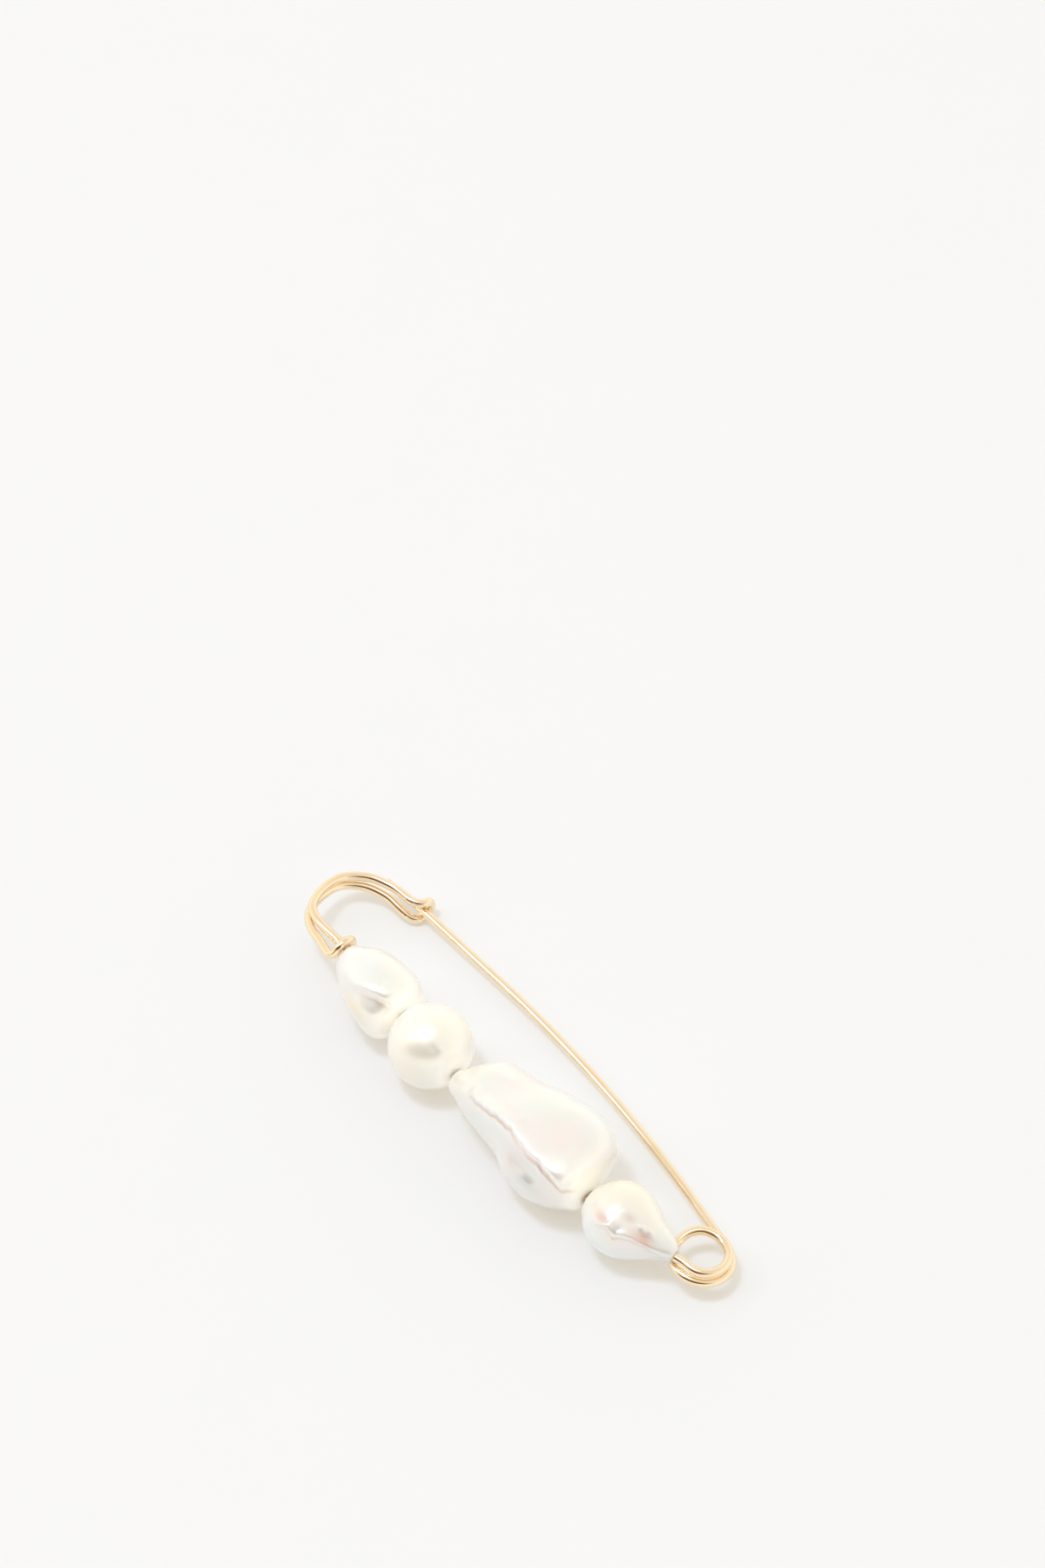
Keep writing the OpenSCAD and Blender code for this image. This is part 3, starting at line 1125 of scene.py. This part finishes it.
@dataclass(frozen=True)
class Fold:
    """A raised line of nacre that falls away steeply on its outer side.

    Each row holds a share of the pearl's length, an angle round it, and in millimetres the height, the
    width on the inner side, the width on the outer side and the depth of the groove below it. The groove's
    place and width are given in outer widths.
    """

    rows: tuple[tuple[float, float, float, float, float, float], ...]
    ripple: float = 0.0
    ripple_length: float = 0.1
    crease_at: float = 1.25
    crease_wide: float = 0.42
    fade: float = 0.03
    full_groove: float = 0.15

    def relief(self, along: Array, angle: Array, reach: Array) -> tuple[Array, Array]:
        """Return the fold's height in millimetres and its groove's mask.

        Args:
            along: Share of the length of each point.
            angle: Angle of each point, in degrees.
            reach: Distance of each point from the hole, in millimetres.

        Returns:
            The height at each point, and how deep in the groove it is from 0 to 1.
        """
        rows = np.array(self.rows)
        columns = [np.interp(along, rows[:, 0], rows[:, k]) for k in range(1, 6)]
        centre, height, inner, outer, shaded_groove = columns
        begun, left = (along - rows[0, 0]) / self.fade, (rows[-1, 0] - along) / self.fade
        inside = np.clip(begun, 0, 1) * np.clip(left, 0, 1)
        inside = inside * inside * (3 - 2 * inside)
        wave = 2 * np.pi * along / self.ripple_length
        sway = np.sin(wave) + 0.7 * np.sin(1.83 * wave + 1.1) + 0.4 * np.sin(0.41 * wave)
        centre = centre + self.ripple * sway
        off = (angle - centre + 180) % 360 - 180
        s = np.radians(off) * reach
        width = np.where(s < 0, inner, outer)
        crest = np.exp(-((s / width) ** 2)) * height
        below = np.exp(-(((s - self.crease_at * outer) / (self.crease_wide * outer)) ** 2))
        mask = inside * below * np.clip(shaded_groove / self.full_groove, 0, 1)
        return inside * (crest - shaded_groove * below), mask


@dataclass(frozen=True)
class Swell:
    """A soft bump or dent: a share of the length, an angle, two reaches and a height in millimetres."""

    along: float
    angle: float
    reach_along: float
    reach_round: float
    height: float

    def mask(self, along: Array, angle: Array, reach: Array, length: float) -> Array:
        """Return how much of the swell each point has, from 0 to 1.

        Args:
            along: Share of the length of each point.
            angle: Angle of each point, in degrees.
            reach: Distance of each point from the hole, in millimetres.
            length: The pearl's length, in millimetres.

        Returns:
            The mask at each point.
        """
        off = (angle - self.angle + 180) % 360 - 180
        a = (along - self.along) * length / self.reach_along
        b = np.radians(off) * reach / self.reach_round
        return np.exp(-(a * a + b * b))


@dataclass
class Pearl:
    """A drilled pearl on the bar.

    Each row holds a share of its length and its distances from the hole at four sides, in half widths.
    The rows of swells and patches are those of a Swell, and a patch's height is the strength of its tint.
    """

    name: str
    node: str
    key: str
    slot: Slot
    finish: NacreFinish
    length: float
    half_width: float
    rows: tuple[tuple[float, ...], ...] = ()
    folds: tuple[Fold, ...] = ()
    swells: tuple[tuple[float, ...], ...] = ()
    patches: dict[str, tuple[tuple[float, ...], ...]] = field(default_factory=dict)
    section_turn: float = 36.0
    even_sides: int = 176
    sides: int = 264
    crowd: float = 0.62
    crowd_at: float = 98.0
    ring_space: float = 0.085
    undulation: float = 0.02
    wave_length: float = 3.2
    seed: int = 1
    drill: float = 0.08
    lip: float = 0.07
    squeeze: float = 0.25
    row_steps: int = 40
    rim: float = 0.62
    ball_rings: int = 150
    hole_steps: int = 24
    hole_rings: int = 16
    corner_soft: float = 7.0
    rings_soft: int = 6
    groove_painted_shade: float = 0.6
    wave_count: int = 14
    wave_fade: float = 0.06

    def _outline(self) -> tuple[Array, Array]:
        """Return the sections' places along the hole and their distances from it, in millimetres.

        Returns:
            A place for each section, and a row of distances for each.
        """
        a = 360.0 * np.arange(self.even_sides) / self.even_sides
        q = (a // 90).astype(int) % 4
        b = np.radians(a - 90 * (a // 90))
        fine = spline(np.array(self.rows), self.row_steps)
        z = fine[:, 0] * self.length
        first, second = fine[:, 1:5][:, q], fine[:, 1:5][:, (q + 1) % 4]
        level = np.sqrt((second * np.cos(b)) ** 2 + (first * np.sin(b)) ** 2)
        r = self.half_width * first * second / level
        s = lengths_along(np.column_stack([z, r.mean(axis=1)]))
        at = np.linspace(0, s[-1], int(s[-1] / self.ring_space))
        z = np.interp(at, s, z)
        r = np.stack([np.interp(at, s, r[:, k]) for k in range(self.even_sides)], axis=1)
        r = self._smoothed(r)
        return z, np.stack([np.interp(self._angles(), a, row, period=360) for row in r])

    def _angles(self) -> Array:
        """Return the angle of each point of a section, in degrees, closer together at the folds."""
        u = np.arange(self.sides) / self.sides
        return 360 * u - self.crowd * np.degrees(np.sin(2 * np.pi * u - math.radians(self.crowd_at)))

    def _smoothed(self, r: Array) -> Array:
        """Return section distances without the small creases between the quarters of a section.

        Args:
            r: The distances, a row for each section.

        Returns:
            The distances, with the same rows.
        """
        wave = np.arange(self.even_sides // 2 + 1)
        gain = np.exp(-0.5 * (np.radians(self.corner_soft) * wave) ** 2)
        r = np.fft.irfft(np.fft.rfft(r, axis=1) * gain, self.even_sides, axis=1)
        half = self.rings_soft
        weights = np.hanning(2 * half + 3)[1:-1]
        weights /= weights.sum()
        padded = np.vstack([2 * r[:1] - r[half:0:-1], r, 2 * r[-1:] - r[-2 : -half - 2 : -1]])
        return np.stack([np.convolve(side, weights, "valid") for side in padded.T], axis=1)

    def _ball(self) -> tuple[Array, Array]:
        """Return the sections of a round pearl.

        Returns:
            A place for each section, and a row of distances for each.
        """
        rim = math.asin(self.rim / (self.length / 2))
        polar = np.linspace(rim, math.pi - rim, self.ball_rings)
        z = self.length / 2 * (1 - np.cos(polar))
        r = self.length / 2 * np.sin(polar)
        return z, np.repeat(r[:, None], self.sides, axis=1)

    def build(self, route: WireRoute, material: bpy.types.Material) -> bpy.types.Object:
        """Build the pearl on its stretch of the bar.

        Args:
            route: The wire that carries it.
            material: Its finish.

        Returns:
            The pearl.
        """
        z, r = self._outline() if self.rows else self._ball()
        angle = np.broadcast_to(self._angles(), r.shape)
        along = np.broadcast_to((z / self.length)[:, None], r.shape)
        reach = r.copy()
        marks = {key: np.zeros(r.shape) for key in PATCH_TINTS}
        for fold in self.folds:
            height, below = fold.relief(along, angle, reach)
            r = r + height
            # Painted shade: the pink-brown tint in the crease below the fold.
            marks["shaded_groove"] = np.maximum(marks["shaded_groove"], self.groove_painted_shade * below)
        for swell in (Swell(*row) for row in self.swells):
            r = r + swell.height * swell.mask(along, angle, reach, self.length)
        for tint, rows in self.patches.items():
            for area in (Swell(*row) for row in rows):
                mask = area.height * area.mask(along, angle, reach, self.length)
                marks[tint] = np.clip(np.maximum(marks[tint], mask), 0, 1)
        turn = np.radians(angle + self.section_turn)
        level = np.broadcast_to(z[:, None], r.shape)
        local = np.stack([r * np.cos(turn), r * np.sin(turn), level], axis=-1)
        fade = np.clip(np.minimum(along, 1 - along) / self.wave_fade, 0, 1)
        bump = self.undulation * waves(local, self.wave_length, self.wave_count, self.seed) * fade
        local[..., :2] *= (1 + bump / np.maximum(r, 0.5))[..., None]
        return self._drilled(route, local, marks, material)

    def _drilled(
        self, route: WireRoute, outside: Array, marks: dict[str, Array], material: bpy.types.Material
    ) -> bpy.types.Object:
        """Close the pearl through its drill hole, which follows the bar, and set it in place.

        Args:
            route: The wire that carries it.
            outside: Its rings of points, about the hole.
            marks: Its tints' masks, one value a point.
            material: Its finish.

        Returns:
            The pearl.
        """
        near, far = route.pearl_spans()[self.key]
        bow = route.bar_at((near + far) / 2)[1] - (route.bar_at(near)[1] + route.bar_at(far)[1]) / 2
        first = route.bar_at(far) + np.array([0.0, bow / 2, 0.0])
        way = unit(route.bar_at(near) - route.bar_at(far))
        beside = np.array([-way[1], way[0], 0.0])
        up = np.array([0.0, 0.0, 1.0])
        hole = route.wire_d / 2 + self.drill
        turn = np.radians(self._angles() + self.section_turn)
        shares = np.linspace(far, near, self.hole_steps)
        centres = np.array([route.bar_at(t) - first for t in shares])
        depth = centres @ way
        aside = centres @ beside
        circle = np.stack([np.cos(turn), np.sin(turn)], axis=1)

        def ring(z: float, radius: float) -> Array:
            """Return a ring about the bar at a depth in the pearl.

            Args:
                z: The depth.
                radius: The ring's radius.

            Returns:
                The ring's points, about the pearl's hole.
            """
            middle = np.interp(z, depth, aside)
            x, y = radius * circle.T
            return np.column_stack([middle + x, y, np.full(self.sides, z)])

        z0, z1, lip = outside[0, 0, 2], outside[-1, 0, 2], self.lip
        rounding = ((0.0, lip), (0.02, 0.4 * lip), (lip, 0.0))
        inner_rings = [ring(z1 - d, hole + w) for d, w in rounding]
        inner_rings += [ring(z, hole) for z in np.linspace(z1 - 2 * lip, z0 + 2 * lip, self.hole_rings)]
        inner_rings += [ring(z0 + d, hole + w) for d, w in reversed(rounding)]
        rings = np.concatenate([outside, np.array(inner_rings)])
        local = rings.reshape(-1, 3)
        points = route.placed(first + local[:, :1] * beside + local[:, 1:2] * up + local[:, 2:] * way)
        points = inside_box(points, self.squeeze * MM)
        pads = len(inner_rings) * self.sides
        values = {key: np.concatenate([v.ravel(), np.zeros(pads)]) for key, v in marks.items()}
        faces = skin_faces(len(rings), self.sides, closed=True)
        piece = shown(self.name, points, faces, values)
        piece.data.materials.append(material)
        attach(piece, Body.FRAME.value)
        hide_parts(self.node)
        return piece


@dataclass
class PearlString:
    """The four pearls in their order from the head to the coil."""

    route: WireRoute
    pearls: list[Pearl] = field(default_factory=list)

    def __post_init__(self) -> None:
        """Fill in the pearls, unless they are given."""
        self.pearls = self.pearls or [self.oval(), self.ball(), self.large(), self.drop()]

    def oval(self) -> Pearl:
        """Describe the oval baroque pearl beside the head.

        Returns:
            The pearl, not yet built.
        """
        return Pearl(
            name="oval_pearl", node="pearl_oval", key="oval", slot=Slot.CREAM,
            finish=NacreFinish(
                "nacre_oval", (0.865, 0.845, 0.805), rose=(0.90, 0.82, 0.78), sage=(0.82, 0.845, 0.77)
            ),
            length=self.route.oval_length,
            half_width=4.0,
            rows=(
                (0.0, 0.21, 0.21, 0.21, 0.21), (0.015, 0.28, 0.36, 0.4, 0.32),
                (0.08, 0.42, 0.6, 0.56, 0.56), (0.25, 0.7, 0.86, 0.77, 0.88), (0.4, 0.84, 0.92, 0.93, 1.04),
                (0.55, 0.91, 0.94, 1.02, 1.19), (0.72, 0.92, 0.93, 1.07, 1.25),
                (0.88, 0.83, 0.84, 1.03, 1.08), (0.975, 0.6, 0.58, 0.82, 0.72),
                (1.0, 0.24, 0.24, 0.24, 0.24),
            ),  # fmt: skip
            folds=(
                Fold(
                    (
                        (0.34, 113, 0.0, 1.2, 0.9, 0.0), (0.5, 107, 0.4, 1.3, 0.8, 0.0),
                        (0.64, 102, 0.52, 1.3, 0.6, 0.0), (0.78, 95, 0.56, 1.4, 0.6, 0.03),
                        (0.9, 88, 0.42, 1.3, 0.5, 0.05), (0.98, 82, 0.0, 1.0, 0.5, 0.0),
                    ),
                    ripple=0.6,
                    ripple_length=0.17,
                ),
            ),
            swells=(
                (0.82, 108, 1.8, 1.0, -0.07), (0.7, 132, 1.8, 0.9, 0.08),
            ),
            patches={
                "cream": ((0.64, 143, 1.8, 0.8, 0.75),),
                # Painted light at the end beside the round pearl, lightening the shade between them.
                "painted_light": ((1.0, 90, 1.7, 12.0, 1.0),),
                # Painted shade in the dent under the fold.
                "shaded_groove": ((0.88, 103, 1.0, 0.5, 0.3),),
                "cool": ((0.45, 85, 3.0, 2.2, 0.5),),
            },
            seed=3,
        )

    def ball(self) -> Pearl:
        """Describe the round cream pearl.

        Returns:
            The pearl, not yet built.
        """
        return Pearl(
            name="round_pearl", node="pearl_round", key="round", slot=Slot.CREAM,
            finish=NacreFinish(
                "nacre_round",
                (0.915, 0.88, 0.795),
                rose=(0.935, 0.865, 0.785),
                sage=(0.895, 0.88, 0.78),
                cloud_amount=0.5,
                sheen=0.28,
                lustre_rough=0.16,
                lustre_index=1.65,
            ),
            length=self.route.round_d,
            half_width=self.route.round_d / 2,
            patches={
                # Painted light at both ends, lightening the shade between the pearls.
                "painted_light": ((0.0, 90, 1.8, 12.0, 1.0), (1.0, 90, 1.8, 12.0, 1.0)),
            },
            swells=((0.84, 80, 0.5, 0.45, 0.08), (0.77, 86, 0.5, 0.4, -0.05)),
            undulation=0.012,
            wave_length=4.0,
            seed=5,
        )

    def large(self) -> Pearl:
        """Describe the large baroque pearl with its long wavy fold and lower lobe.

        Returns:
            The pearl, not yet built.
        """
        return Pearl(
            name="large_pearl", node="pearl_large", key="large", slot=Slot.WHITE,
            finish=NacreFinish(
                "nacre_large", (0.83, 0.835, 0.815), rose=(0.885, 0.805, 0.785), sage=(0.77, 0.835, 0.79)
            ),
            length=self.route.large_length,
            half_width=5.9,
            rows=(
                (0.0, 0.17, 0.17, 0.17, 0.17), (0.02, 0.22, 0.24, 0.26, 0.26),
                (0.08, 0.53, 0.34, 0.31, 0.46), (0.16, 0.82, 0.45, 0.38, 0.58),
                (0.28, 0.91, 0.55, 0.44, 0.67), (0.38, 0.95, 0.63, 0.49, 0.72),
                (0.48, 1.07, 0.7, 0.57, 0.75), (0.6, 1.18, 0.77, 0.7, 0.8), (0.74, 1.25, 0.81, 0.73, 0.82),
                (0.86, 1.18, 0.78, 0.6, 0.78), (0.94, 0.97, 0.65, 0.42, 0.66), (0.985, 0.6, 0.42, 0.3, 0.4),
                (1.0, 0.16, 0.16, 0.16, 0.16),
            ),  # fmt: skip
            folds=(
                Fold(
                    (
                        (0.08, 90, 0.0, 1.8, 1.1, 0.0), (0.25, 90, 0.4, 2.2, 1.1, 0.0),
                        (0.45, 89, 0.7, 2.8, 1.2, 0.0), (0.65, 92, 0.8, 3.0, 1.2, 0.0),
                        (0.8, 93, 0.82, 2.8, 1.2, 0.0), (0.9, 94, 1.06, 2.8, 1.2, 0.0),
                        (0.94, 95, 1.16, 2.6, 1.15, 0.0), (0.97, 92, 0.94, 2.2, 1.0, 0.0),
                        (1.0, 85, 0.0, 1.6, 0.9, 0.0),
                    ),
                ),
                Fold(
                    (
                        (0.16, 90, 0.0, 0.9, 0.5, 0.0), (0.21, 89, 0.38, 0.65, 0.45, 0.08),
                        (0.3, 90, 0.44, 0.65, 0.4, 0.14), (0.38, 87, 0.46, 0.65, 0.4, 0.17),
                        (0.48, 86, 0.44, 0.65, 0.4, 0.17), (0.58, 87, 0.38, 0.8, 0.45, 0.1),
                        (0.65, 91, 0.22, 0.9, 0.5, 0.02), (0.73, 93, 0.24, 1.2, 0.5, 0.14),
                        (0.81, 92, 0.28, 1.5, 0.5, 0.22), (0.87, 94, 0.3, 1.6, 0.5, 0.26),
                        (0.92, 97, 0.3, 1.5, 0.5, 0.26), (0.955, 97, 0.24, 1.2, 0.45, 0.22),
                        (0.98, 89, 0.14, 0.9, 0.4, 0.12), (1.0, 70, 0.0, 0.7, 0.4, 0.0),
                    ),
                    ripple=0.8,
                    ripple_length=0.115,
                ),
            ),
            swells=(
                (0.24, 26, 1.3, 0.8, 0.2), (0.34, 42, 1.8, 1.4, -0.1), (0.47, 20, 2.0, 1.5, 0.08),
                (0.47, 168, 1.5, 2.2, -0.22), (0.69, 117, 3.2, 1.1, -0.36), (0.72, 146, 2.8, 1.6, 0.42),
            ),
            patches={
                "blush": ((0.36, 16, 3.0, 2.2, 0.5), (0.76, 58, 2.2, 2.2, 0.5), (0.5, 74, 3.6, 0.6, 0.35)),
                # Painted light: at both ends, lightening the shade between the pearls, and two painted
                # highlights, a streak near the top and a blob near the lower end.
                "painted_light": (
                    (1.0, 90, 1.7, 9.0, 1.0), (0.0, 90, 1.6, 9.0, 0.8), (0.27, 29, 1.8, 0.5, 0.75),
                    (0.895, 87, 1.5, 0.9, 0.9),
                ),
                "leaf": ((0.62, 37, 3.0, 2.0, 0.45),),
                "cream": ((0.05, 60, 2.4, 5.0, 0.3),),
                # Painted reflection of the room's dark corner on the lower lobe.
                "painted_dark_reflection": ((0.655, 125, 1.7, 0.9, 0.45), (0.755, 132, 1.7, 0.9, 0.5)),
            },
            seed=7,
        )

    def drop(self) -> Pearl:
        """Describe the drop pearl whose tip lies over the coil.

        Returns:
            The pearl, not yet built.
        """
        return Pearl(
            name="drop_pearl", node="pearl_drop", key="drop", slot=Slot.WHITE,
            finish=NacreFinish(
                "nacre_drop", (0.865, 0.85, 0.79), rose=(0.91, 0.80, 0.76), sage=(0.79, 0.85, 0.81)
            ),
            length=self.route.drop_length,
            half_width=4.0,
            rows=(
                (0.0, 0.19, 0.19, 0.19, 0.19), (0.03, 0.42, 0.42, 0.42, 0.42),
                (0.14, 0.82, 0.74, 0.74, 0.8), (0.3, 1.03, 0.89, 0.93, 0.99),
                (0.46, 1.02, 0.88, 0.93, 0.97), (0.62, 0.83, 0.73, 0.76, 0.76),
                (0.76, 0.61, 0.55, 0.5, 0.42), (0.89, 0.45, 0.38, 0.28, 0.2),
                (0.975, 0.32, 0.27, 0.19, 0.175), (1.0, 0.22, 0.2, 0.18, 0.175),
            ),  # fmt: skip
            folds=(
                Fold(
                    (
                        (0.15, 112, 0.0, 1.2, 0.8, 0.0), (0.35, 110, 0.28, 1.6, 0.8, 0.0),
                        (0.6, 106, 0.3, 1.4, 0.7, 0.0), (0.97, 112, 0.0, 0.8, 0.4, 0.0),
                    ),
                ),
                Fold(
                    (
                        (0.22, 119, 0.0, 0.5, 0.35, 0.0), (0.3, 116, 0.14, 0.5, 0.35, 0.03),
                        (0.4, 111, 0.22, 0.5, 0.35, 0.06), (0.49, 117, 0.24, 0.5, 0.35, 0.09),
                        (0.57, 110, 0.24, 0.5, 0.35, 0.05), (0.65, 106, 0.2, 0.5, 0.35, 0.07),
                        (0.72, 105, 0.14, 0.5, 0.35, 0.03), (0.8, 109, 0.16, 0.45, 0.35, 0.04),
                        (0.9, 112, 0.1, 0.4, 0.3, 0.02), (0.97, 112, 0.0, 0.4, 0.3, 0.0),
                    ),
                    ripple=1.3,
                    ripple_length=0.21,
                ),
            ),
            swells=(
                (0.3, 103, 0.9, 0.5, -0.1), (0.36, 79, 1.3, 0.9, 0.08), (0.54, 84, 0.8, 0.6, -0.12),
                (0.72, 96, 1.0, 0.5, -0.16), (0.66, 79, 0.4, 0.3, 0.1), (0.73, 73, 0.3, 0.25, 0.08),
                (0.45, 150, 1.6, 1.2, 0.08),
            ),
            patches={
                "cool": ((0.45, 160, 4.5, 3.2, 0.9),),
                "cream": ((0.22, 25, 3.6, 3.0, 0.5),),
                # Painted light at the end beside the large pearl, lightening the shade between them.
                "painted_light": ((0.0, 90, 2.0, 9.0, 0.9),),
                "blush": ((0.48, 130, 1.6, 0.7, 0.4),),
                "leaf": ((0.38, 140, 1.4, 0.8, 0.4),),
                # Painted shade in the dents.
                "shaded_groove": (
                    (0.31, 104, 1.2, 0.6, 0.7), (0.52, 80, 0.6, 0.45, 0.35), (0.72, 99, 1.2, 0.55, 0.85),
                ),
            },
            seed=11,
        )

    def build(self) -> list[bpy.types.Object]:
        """Build the pearls."""
        return [pearl.build(self.route, pearl.finish.material()) for pearl in self.pearls]


# The studio


@dataclass(frozen=True)
class Studio:
    """The near-white table, the soft light and the camera."""

    route: WireRoute
    azimuth: float = -47.9
    elevation: float = 52.4
    lens: float = 110.0
    sensor: float = 36.0
    coil_right: float = 206.3
    coil_down: float = 537.2
    focal_px: float = 5500.0
    px_per_mm: float = 11.3
    floor_size: float = 6.0
    floor_level: float = -0.00001
    floor_scale: float = 90.0
    floor_amount: float = 0.4
    floor_rough: float = 0.95
    floor_gloss: float = 0.1
    floor_colour: Colour = (0.478, 0.522, 0.592)
    floor_glow: Colour = (0.395, 0.345, 0.265)
    room: Colour = (0.84, 0.80, 0.73)
    horizon: Colour = (1.36, 1.27, 1.13)
    dark: Colour = (0.15, 0.08, 0.03)
    dark_way: tuple[float, float, float] = (-0.28, -0.73, 0.61)
    dark_wide: float = 50.0
    dark_tall: float = 19.5
    key_way: tuple[float, float, float] = (-0.27, 0.02, 0.963)
    key_distance: float = 1.2
    key_size: float = 0.22
    key_power: float = 3.9
    key_colour: Colour = (0.76, 0.87, 1.0)
    strip: Colour = (2.9, 3.1, 3.5)
    strip_way: tuple[float, float, float] = (-0.42, 0.02, 0.907)
    strip_wide: float = 33.0
    strip_tall: float = 6.2
    edge: tuple[float, float] = (1.7, 0.4)
    room_bend: float = 0.8

    def _level_turn(self) -> Array:
        """Return the turn from the row frame to axes that are right, away and up for the camera."""
        a = math.radians(self.azimuth)
        return np.array([[math.cos(a), -math.sin(a), 0], [math.sin(a), math.cos(a), 0], [0, 0, 1.0]])

    def in_row(self, way: Iterable[float]) -> Array:
        """Return a direction given as right, away and up in the row frame."""
        return self._level_turn().T @ unit(np.array(list(way)))

    def camera(self) -> bpy.types.Object:
        """Place the camera at the photograph's angle.

        Returns:
            The camera.
        """
        e = math.radians(self.elevation)
        tip = np.array([[1, 0, 0], [0, math.sin(e), math.cos(e)], [0, -math.cos(e), math.sin(e)]])
        whole = tip @ self._level_turn()
        ray = np.array([self.coil_right, -self.coil_down, -self.focal_px]) / self.px_per_mm
        place = self.route.rest.centre(self.route) - whole.T @ ray
        data = bpy.data.cameras.new("camera")
        data.lens, data.sensor_width = self.lens, self.sensor
        data.clip_start, data.clip_end = 0.01, 50.0
        camera = bpy.data.objects.new("camera", data)
        matrix = Matrix([[*row, 0.0] for row in whole.T.tolist()] + [[0.0, 0.0, 0.0, 1.0]])
        matrix.translation = Vector((place * MM).tolist())
        camera.matrix_world = matrix
        bpy.context.scene.collection.objects.link(camera)
        bpy.context.scene.camera = camera
        return camera

    def floor(self) -> bpy.types.Object:
        """Lay the near-white table.

        Returns:
            The table.
        """
        h = self.floor_size / 2
        mesh = bpy.data.meshes.new("table")
        corners = [(x, y, self.floor_level) for x, y in ((-h, -h), (h, -h), (h, h), (-h, h))]
        mesh.from_pydata(corners, [], [(0, 1, 2, 3)])
        table = bpy.data.objects.new("table", mesh)
        bpy.context.scene.collection.objects.link(table)
        material, s, shader = new_material("pale_paper")
        r, g, b = self.floor_colour
        warm, dull = (r * 0.995, g * 0.995, b * 0.99), (r * 0.99, g * 0.995, b)
        look = {
            "Base Color": s.clouds(self.floor_colour, warm, dull, self.floor_scale, self.floor_amount),
            "Roughness": self.floor_rough,
            "Specular IOR Level": self.floor_gloss,
            "Emission Color": rgba(self.floor_glow),
            "Emission Strength": 1.0,
        }
        s.feed(shader, look)
        mesh.materials.append(material)
        return table

    def _across(self, way: Array) -> tuple[Array, Array]:
        """Return the level axis and the steep axis at right angles to way, for the camera's right.

        Args:
            way: The direction.

        Returns:
            The level axis and the steep axis.
        """
        right = self.in_row((1.0, 0.0, 0.0))
        wide = unit(right - (right @ way) * way)
        return wide, np.cross(way, wide)

    def _oval(
        self, s: Sketch, way_in: bpy.types.NodeSocket, centre: Array, wide: float, tall: float
    ) -> bpy.types.NodeSocket:
        """Return the mask of a soft oval patch of the room.

        Args:
            s: The world's sketch.
            way_in: The direction that is looked in.
            centre: The direction of the patch.
            wide: Half its width in degrees.
            tall: Half its height in degrees.

        Returns:
            The mask's socket.
        """

        def along(axis: Array) -> bpy.types.NodeSocket:
            """Return the socket of how far the direction goes along an axis."""
            given = {0: way_in, 1: tuple(axis.tolist())}
            return s.node("VectorMath", given, operation="DOT_PRODUCT").outputs["Value"]

        level, steep = self._across(centre)
        x = s.math("DIVIDE", along(level), math.sin(math.radians(wide)))
        y = s.math("DIVIDE", along(steep), math.sin(math.radians(tall)))
        off = s.math("ADD", s.math("MULTIPLY", x, x), s.math("MULTIPLY", y, y))
        limits = {0: off, 1: self.edge[0], 2: self.edge[1]}
        inside = s.node("MapRange", limits, interpolation_type="SMOOTHSTEP").outputs[0]
        return s.math("MULTIPLY", inside, s.math("GREATER_THAN", along(centre), 0.0))

    def light(self) -> None:
        """Light the room: a lamp and a bright strip overhead, a bright horizon and a dark corner."""
        data = bpy.data.lights.new("overhead_lamp", "AREA")
        data.shape, data.size = "DISK", self.key_size
        data.energy, data.color = self.key_power, self.key_colour
        lamp = bpy.data.objects.new("overhead_lamp", data)
        way = self.in_row(self.key_way)
        lamp.location = Vector((way * self.key_distance).tolist())
        lamp.rotation_mode = "QUATERNION"
        lamp.rotation_quaternion = Vector(way.tolist()).to_track_quat("Z", "Y")
        bpy.context.scene.collection.objects.link(lamp)

        world = bpy.data.worlds.new("soft_room")
        world.use_nodes = True
        world.node_tree.nodes.clear()
        s = Sketch(world.node_tree)
        way_in = s.node("TexCoord").outputs["Generated"]
        dark = self._oval(s, way_in, self.in_row(self.dark_way), self.dark_wide, self.dark_tall)
        strip = self._oval(s, way_in, self.in_row(self.strip_way), self.strip_wide, self.strip_tall)
        height = s.node("SeparateXYZ", {0: way_in}).outputs["Z"]
        high = s.math("POWER", s.math("MAXIMUM", height, 0.0), self.room_bend)
        colour = s.mix(high, rgba(self.horizon), rgba(self.room))
        colour = s.mix(strip, s.mix(dark, colour, rgba(self.dark)), rgba(self.strip))
        back = s.node("Background", {"Color": colour, "Strength": 1.0})
        s.node("OutputWorld", {"Surface": back.outputs[0]})
        bpy.context.scene.world = world
        bpy.context.scene.view_settings.view_transform = "Standard"

    def build(self) -> None:
        """Set up the studio."""
        self.camera()
        self.floor()
        self.light()


def main() -> None:
    """Build the brooch and its studio, piece by piece."""
    logging.basicConfig(level=logging.INFO, format="%(message)s")
    route = WireRoute()
    Studio(route).build()
    wire = WireWork(route, GoldFinish().material())
    for piece in [*wire.build(), *PearlString(route).build()]:
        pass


if __name__ == "__main__":
    main()
